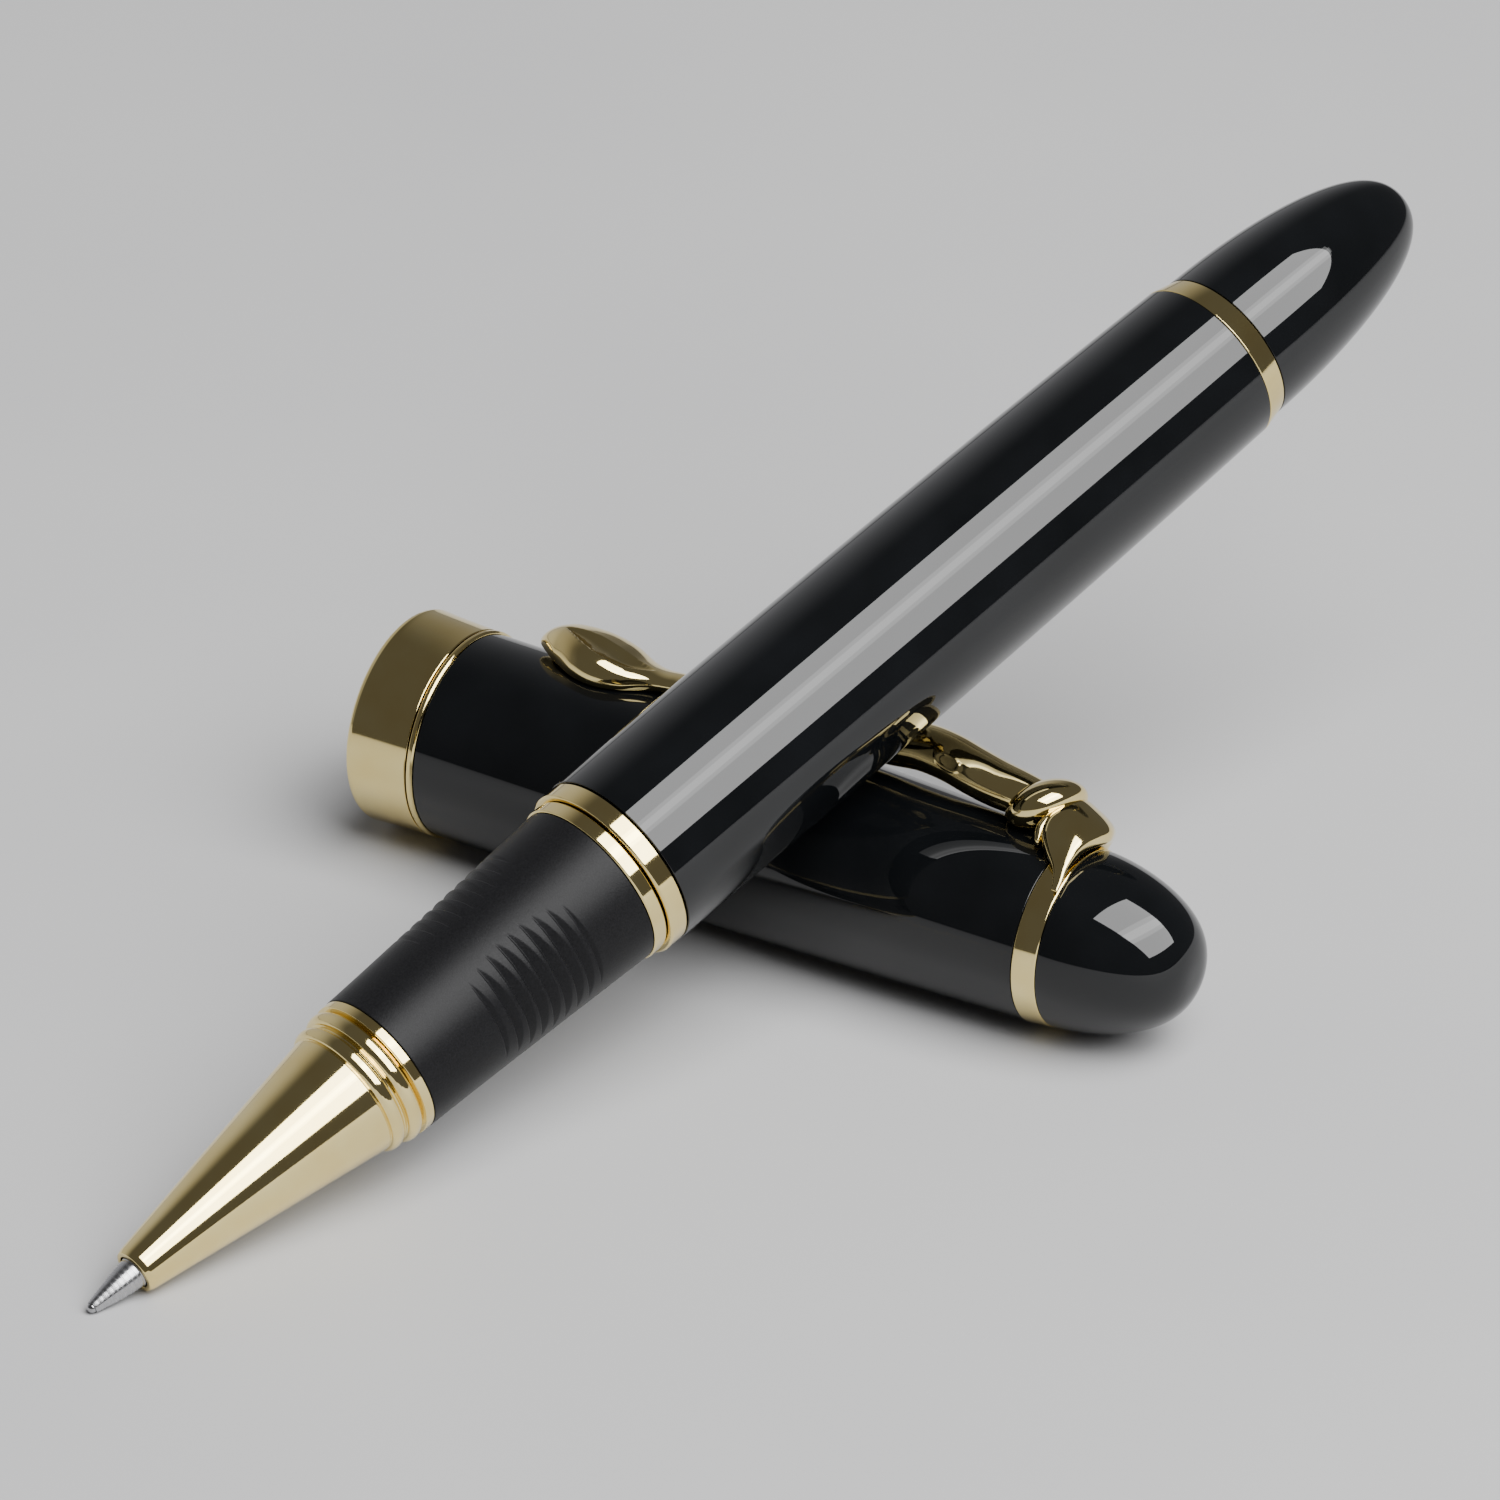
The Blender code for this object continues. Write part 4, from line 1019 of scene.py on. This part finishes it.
def bar_shell(rows=380, columns=128):
    """Ellipses across the clip's line: middle + thickness cos a outwards, width sin a sideways, with the
    relief added square to them. On the bulb the section is a superellipse, |x|^p + |y|^p = 1, with p up
    to 2.9. At the bulb's end both radii shrink as a quarter circle does."""
    crowded = BAR_TIP + CROWDED_LENGTH * np.linspace(0.0, 1.0, CROWDED_ROWS)[1:] ** 2
    stations = np.concatenate([crowded, np.linspace(BAR_TIP + CROWDED_LENGTH, BAR[-1, 0], rows)[1:]])
    middle, thickness, width = smooth_through(BAR[:, 0], BAR[:, 1:], stations).T[:, :, None]
    station = stations[:, None]
    closing = np.sqrt(1 - (1 - np.clip((station - BAR_TIP) / BULB_NOSE, 0, 1)) ** 2)
    thickness, width = thickness * closing, width * closing
    angle = np.linspace(0.0, 2 * np.pi, columns, endpoint=False)[None, :]
    outward, sideward = width * np.cos(angle), thickness * np.sin(angle)
    lift = bar_relief(station, angle, thickness, width) / np.hypot(outward, sideward)
    fullness = 2 + BULB_FULLNESS * np.exp(-(((station - BULB_MIDDLE) / BULB_REACH) ** 2))
    swell = (np.abs(np.cos(angle)) ** fullness + np.abs(np.sin(angle)) ** fullness) ** (-1 / fullness)
    out = middle + swell * thickness * np.cos(angle) + lift * outward
    side = swell * width * np.sin(angle) + lift * sideward
    out, side = kept_off_the_cap(out, side, station)
    grid = np.stack(np.broadcast_arrays(out, side, station), -1)
    return grid_shell(grid, False, (middle[0, 0], 0.0, BAR_TIP), (middle[-1, 0], 0.0, stations[-1]))


print("the bar's top is at most", round(float((BAR[:, 1] + BAR[:, 2]).max()), 2), "mm from the cap's axis")

# %% [markdown]
# ### The knot
# The knot is two folds and a thin strand between them, like a rope that goes round the bar. The first
# fold is a leaning bead. The second is carried round the cap: from the front it sweeps down and narrows
# until it is only a tongue lying on the gold ring. Its top falls away to the rear and ends there in an
# upright face. They could be one sculpted form, but three simple shells that run into each other keep the
# sharp creases that a casting has.


# %% The clip's knot and tongue
# middle station, half length, distance from the cap's axis, half thickness, half width, lean
FIRST_FOLD = (49.25, 1.90, 7.90, 2.03, 3.20, 0.95)
LEAN_TURN = np.radians(10.0)  # the fold leans most this far from its top


def bead_shell(middle, half_length, centre, thickness, width, lean, columns=120, rows=60):
    """An ellipsoid whose rings swell as the power 0.7 of the sine, which gives it full shoulders. Each
    ring leans: its points move along the bar by the lean times the cosine of their angle, so its top is
    further back."""
    lat = np.linspace(0.0, np.pi, rows + 2)[1:-1][:, None]
    angle = np.linspace(0.0, 2 * np.pi, columns, endpoint=False)[None, :]
    swell = np.sin(lat) ** 0.7
    station = middle - half_length * np.cos(lat) + lean * swell * np.cos(angle + LEAN_TURN)
    out, side = centre + thickness * swell * np.cos(angle), width * swell * np.sin(angle)
    out, side = kept_off_the_cap(out, side, station)
    grid = np.stack(np.broadcast_arrays(out, side, station), -1)
    return grid_shell(grid, False, (centre, 0.0, middle - half_length), (centre, 0.0, middle + half_length))


# angle round the cap, middle station, half width, inner and outer radius, fall of the outside to the rear
SECOND_FOLD = np.array(
    [
        (-46.0, 51.6, 0.40, 6.46, 6.80, 0.00),
        (-38.0, 51.5, 0.85, 6.46, 7.30, 0.05),
        (-28.0, 51.7, 1.30, 6.46, 7.90, 0.20),
        (-14.0, 52.15, 1.60, 6.46, 8.45, 0.40),
        (0.0, 52.5, 1.80, 6.46, 8.55, 0.42),
        (10.0, 52.45, 1.77, 6.46, 8.45, 0.36),
        (20.0, 52.3, 1.68, 6.46, 8.20, 0.25),
        (27.0, 52.4, 1.45, 6.46, 7.85, 0.15),
        (34.0, 52.8, 1.02, 6.46, 7.45, 0.05),
        (41.0, 53.25, 0.52, 6.46, 7.02, 0.00),
        (47.0, 53.50, 0.34, 6.46, 6.80, 0.00),
        (54.0, 53.65, 0.22, 6.46, 6.66, 0.00),
    ]
)
STRAND = np.array(
    [
        (-34.0, 51.0, 0.15, 6.7, 7.60, 0.0),
        (-14.0, 51.2, 0.34, 6.7, 8.75, 0.0),
        (5.0, 51.0, 0.36, 6.7, 8.75, 0.0),
        (18.0, 50.75, 0.42, 6.7, 8.40, 0.0),
        (25.0, 50.65, 0.36, 6.8, 7.90, 0.0),
        (30.0, 50.8, 0.15, 6.9, 7.30, 0.0),
    ]
)


def fold_shell(table, fullness, rows=120, columns=96):
    """A section carried round the cap. It is a superellipse, |x|^p + |y|^p = 1, whose outside also falls
    to the rear."""
    degrees = np.linspace(table[0, 0], table[-1, 0], rows)
    middle, half, inner, outer, fall = smooth_through(table[:, 0], table[:, 1:], degrees).T[:, :, None]
    turn = np.radians(degrees)[:, None]
    around = np.linspace(0.0, 2 * np.pi, columns, endpoint=False)[None, :]
    across = np.sign(np.cos(around)) * np.abs(np.cos(around)) ** (2 / fullness)
    height = 0.5 + 0.5 * np.sign(np.sin(around)) * np.abs(np.sin(around)) ** (2 / fullness)
    radius = inner + (outer - inner - fall * across * half) * height
    station = middle + half * across
    grid = np.stack(np.broadcast_arrays(radius * np.cos(turn), radius * np.sin(turn), station), -1)
    return grid_shell(grid, False, grid[0].mean(0), grid[-1].mean(0))


piece_from_shells(
    "cast_clip",
    [bar_shell(), bead_shell(*FIRST_FOLD), fold_shell(STRAND, 2.2), fold_shell(SECOND_FOLD, 3.2)],
    clip,
    gold_on_cap,
    "clip",
    "clip",
)

# %% [markdown]
# ## Table
# The table is plain and pale, and far larger than the view, so that no edge of it shows in the polished
# pieces. A single square is enough. A breath of unevenness in its colour keeps it from looking like
# paper.

# %% Floor
FLOOR_HALF = 3.0
corners = FLOOR_HALF * np.array([(-1, -1, 0), (1, -1, 0), (1, 1, 0), (-1, 1, 0)])
floor_mesh = bpy.data.meshes.new("pale_table")
floor_mesh.from_pydata(corners.tolist(), [], [(0, 1, 2, 3)])
floor = bpy.data.objects.new("pale_table", floor_mesh)
bpy.context.scene.collection.objects.link(floor)
table_finish = Finish("pale table", (0.44, 0.44, 0.44), 0.0, 0.7)
table_finish.tint(table_finish.noise(0.02, 2.0), (0.425, 0.425, 0.43), (0.450, 0.450, 0.45))
floor_mesh.materials.append(table_finish.material)
print("table of", 2 * FLOOR_HALF, "m")

# %% [markdown]
# ## Light
# Polished things show what is round them more than they show themselves. One long soft panel over the pen
# draws the bright stripe down the barrel and gives the crown its window. Two narrower panels in front of
# it make the stripe brightest along its middle, so that its edges are softer than its core. The room is
# dim, and a little brighter behind the pen, which keeps the lacquer black and still lights its far edge.
#
# We give each panel's place as an angle round the pen, because that is where its stripe falls on the
# barrel.


# %% Lights
def soft_panel(name, direction, distance, width, length, long_way, strength):
    """A rectangular light that faces the pen. Its long side runs as nearly as it can along long_way, and
    its energy is its strength times its area."""
    towards = Vector(unit(np.array(direction, float)))
    data = bpy.data.lights.new(name, "AREA")
    data.shape, data.size, data.size_y = "RECTANGLE", width, length
    data.energy = strength * width * length
    lamp = bpy.data.objects.new(name, data)
    bpy.context.scene.collection.objects.link(lamp)
    long_axis = Vector(long_way)
    long_axis = (long_axis - long_axis.dot(towards) * towards).normalized()
    short_axis = long_axis.cross(towards)
    turn = Matrix((short_axis, long_axis, towards)).transposed()
    lamp.matrix_world = Matrix.Translation(Vector(LOOK_AT) + distance * towards) @ turn.to_4x4()
    print(f"{name}: {width:.2f} by {length:.2f} m, {data.energy:.1f} W")


up, side, along = pen[1].T


def round_the_pen(degrees, lean):
    """The direction at an angle round the pen from its upper side, leaning along it by a share."""
    turn = np.radians(degrees)
    return np.sqrt(1 - lean**2) * (np.cos(turn) * up + np.sin(turn) * side) + lean * along


PANEL_LEAN, PANEL_LENGTH = 0.32, 0.95
for name, degrees, distance, width, strength in [
    ("long_panel", 37.0, 1.0, 1.05, 27.0),
    ("bright_core", 34.0, 0.98, 0.26, 8.0),
    ("bright_core_middle", 34.0, 0.97, 0.12, 8.0),
]:
    direction = round_the_pen(degrees, PANEL_LEAN)
    soft_panel(name, direction, distance, width, PANEL_LENGTH, along, strength)

# %% [markdown]
# ### The room
# A world of one brightness would fill the lacquer evenly and make it grey. This one takes the share of
# each direction that points behind the pen, and turns it smoothly into a strength.

# %% Room
ROOM_DIM, ROOM_BRIGHT = 0.10, 0.60
world = bpy.data.worlds.new("dim_room")
bpy.context.scene.world = world
world.use_nodes = True
sky, links = world.node_tree.nodes, world.node_tree.links
looking = sky.new("ShaderNodeTexCoord")
towards_back = sky.new("ShaderNodeVectorMath")
towards_back.operation = "DOT_PRODUCT"
towards_back.inputs[1].default_value = -side
room = sky.new("ShaderNodeMapRange")
room.inputs["From Min"].default_value, room.inputs["From Max"].default_value = 0.45, 1.0
room.inputs["To Min"].default_value, room.inputs["To Max"].default_value = ROOM_DIM, ROOM_BRIGHT
room.interpolation_type = "SMOOTHSTEP"
links.new(looking.outputs["Generated"], towards_back.inputs[0])
links.new(towards_back.outputs["Value"], room.inputs["Value"])
links.new(room.outputs["Result"], sky["Background"].inputs["Strength"])
sky["Background"].inputs["Color"].default_value = (1.0, 1.0, 1.03, 1.0)
print("room strength from", ROOM_DIM, "to", ROOM_BRIGHT)
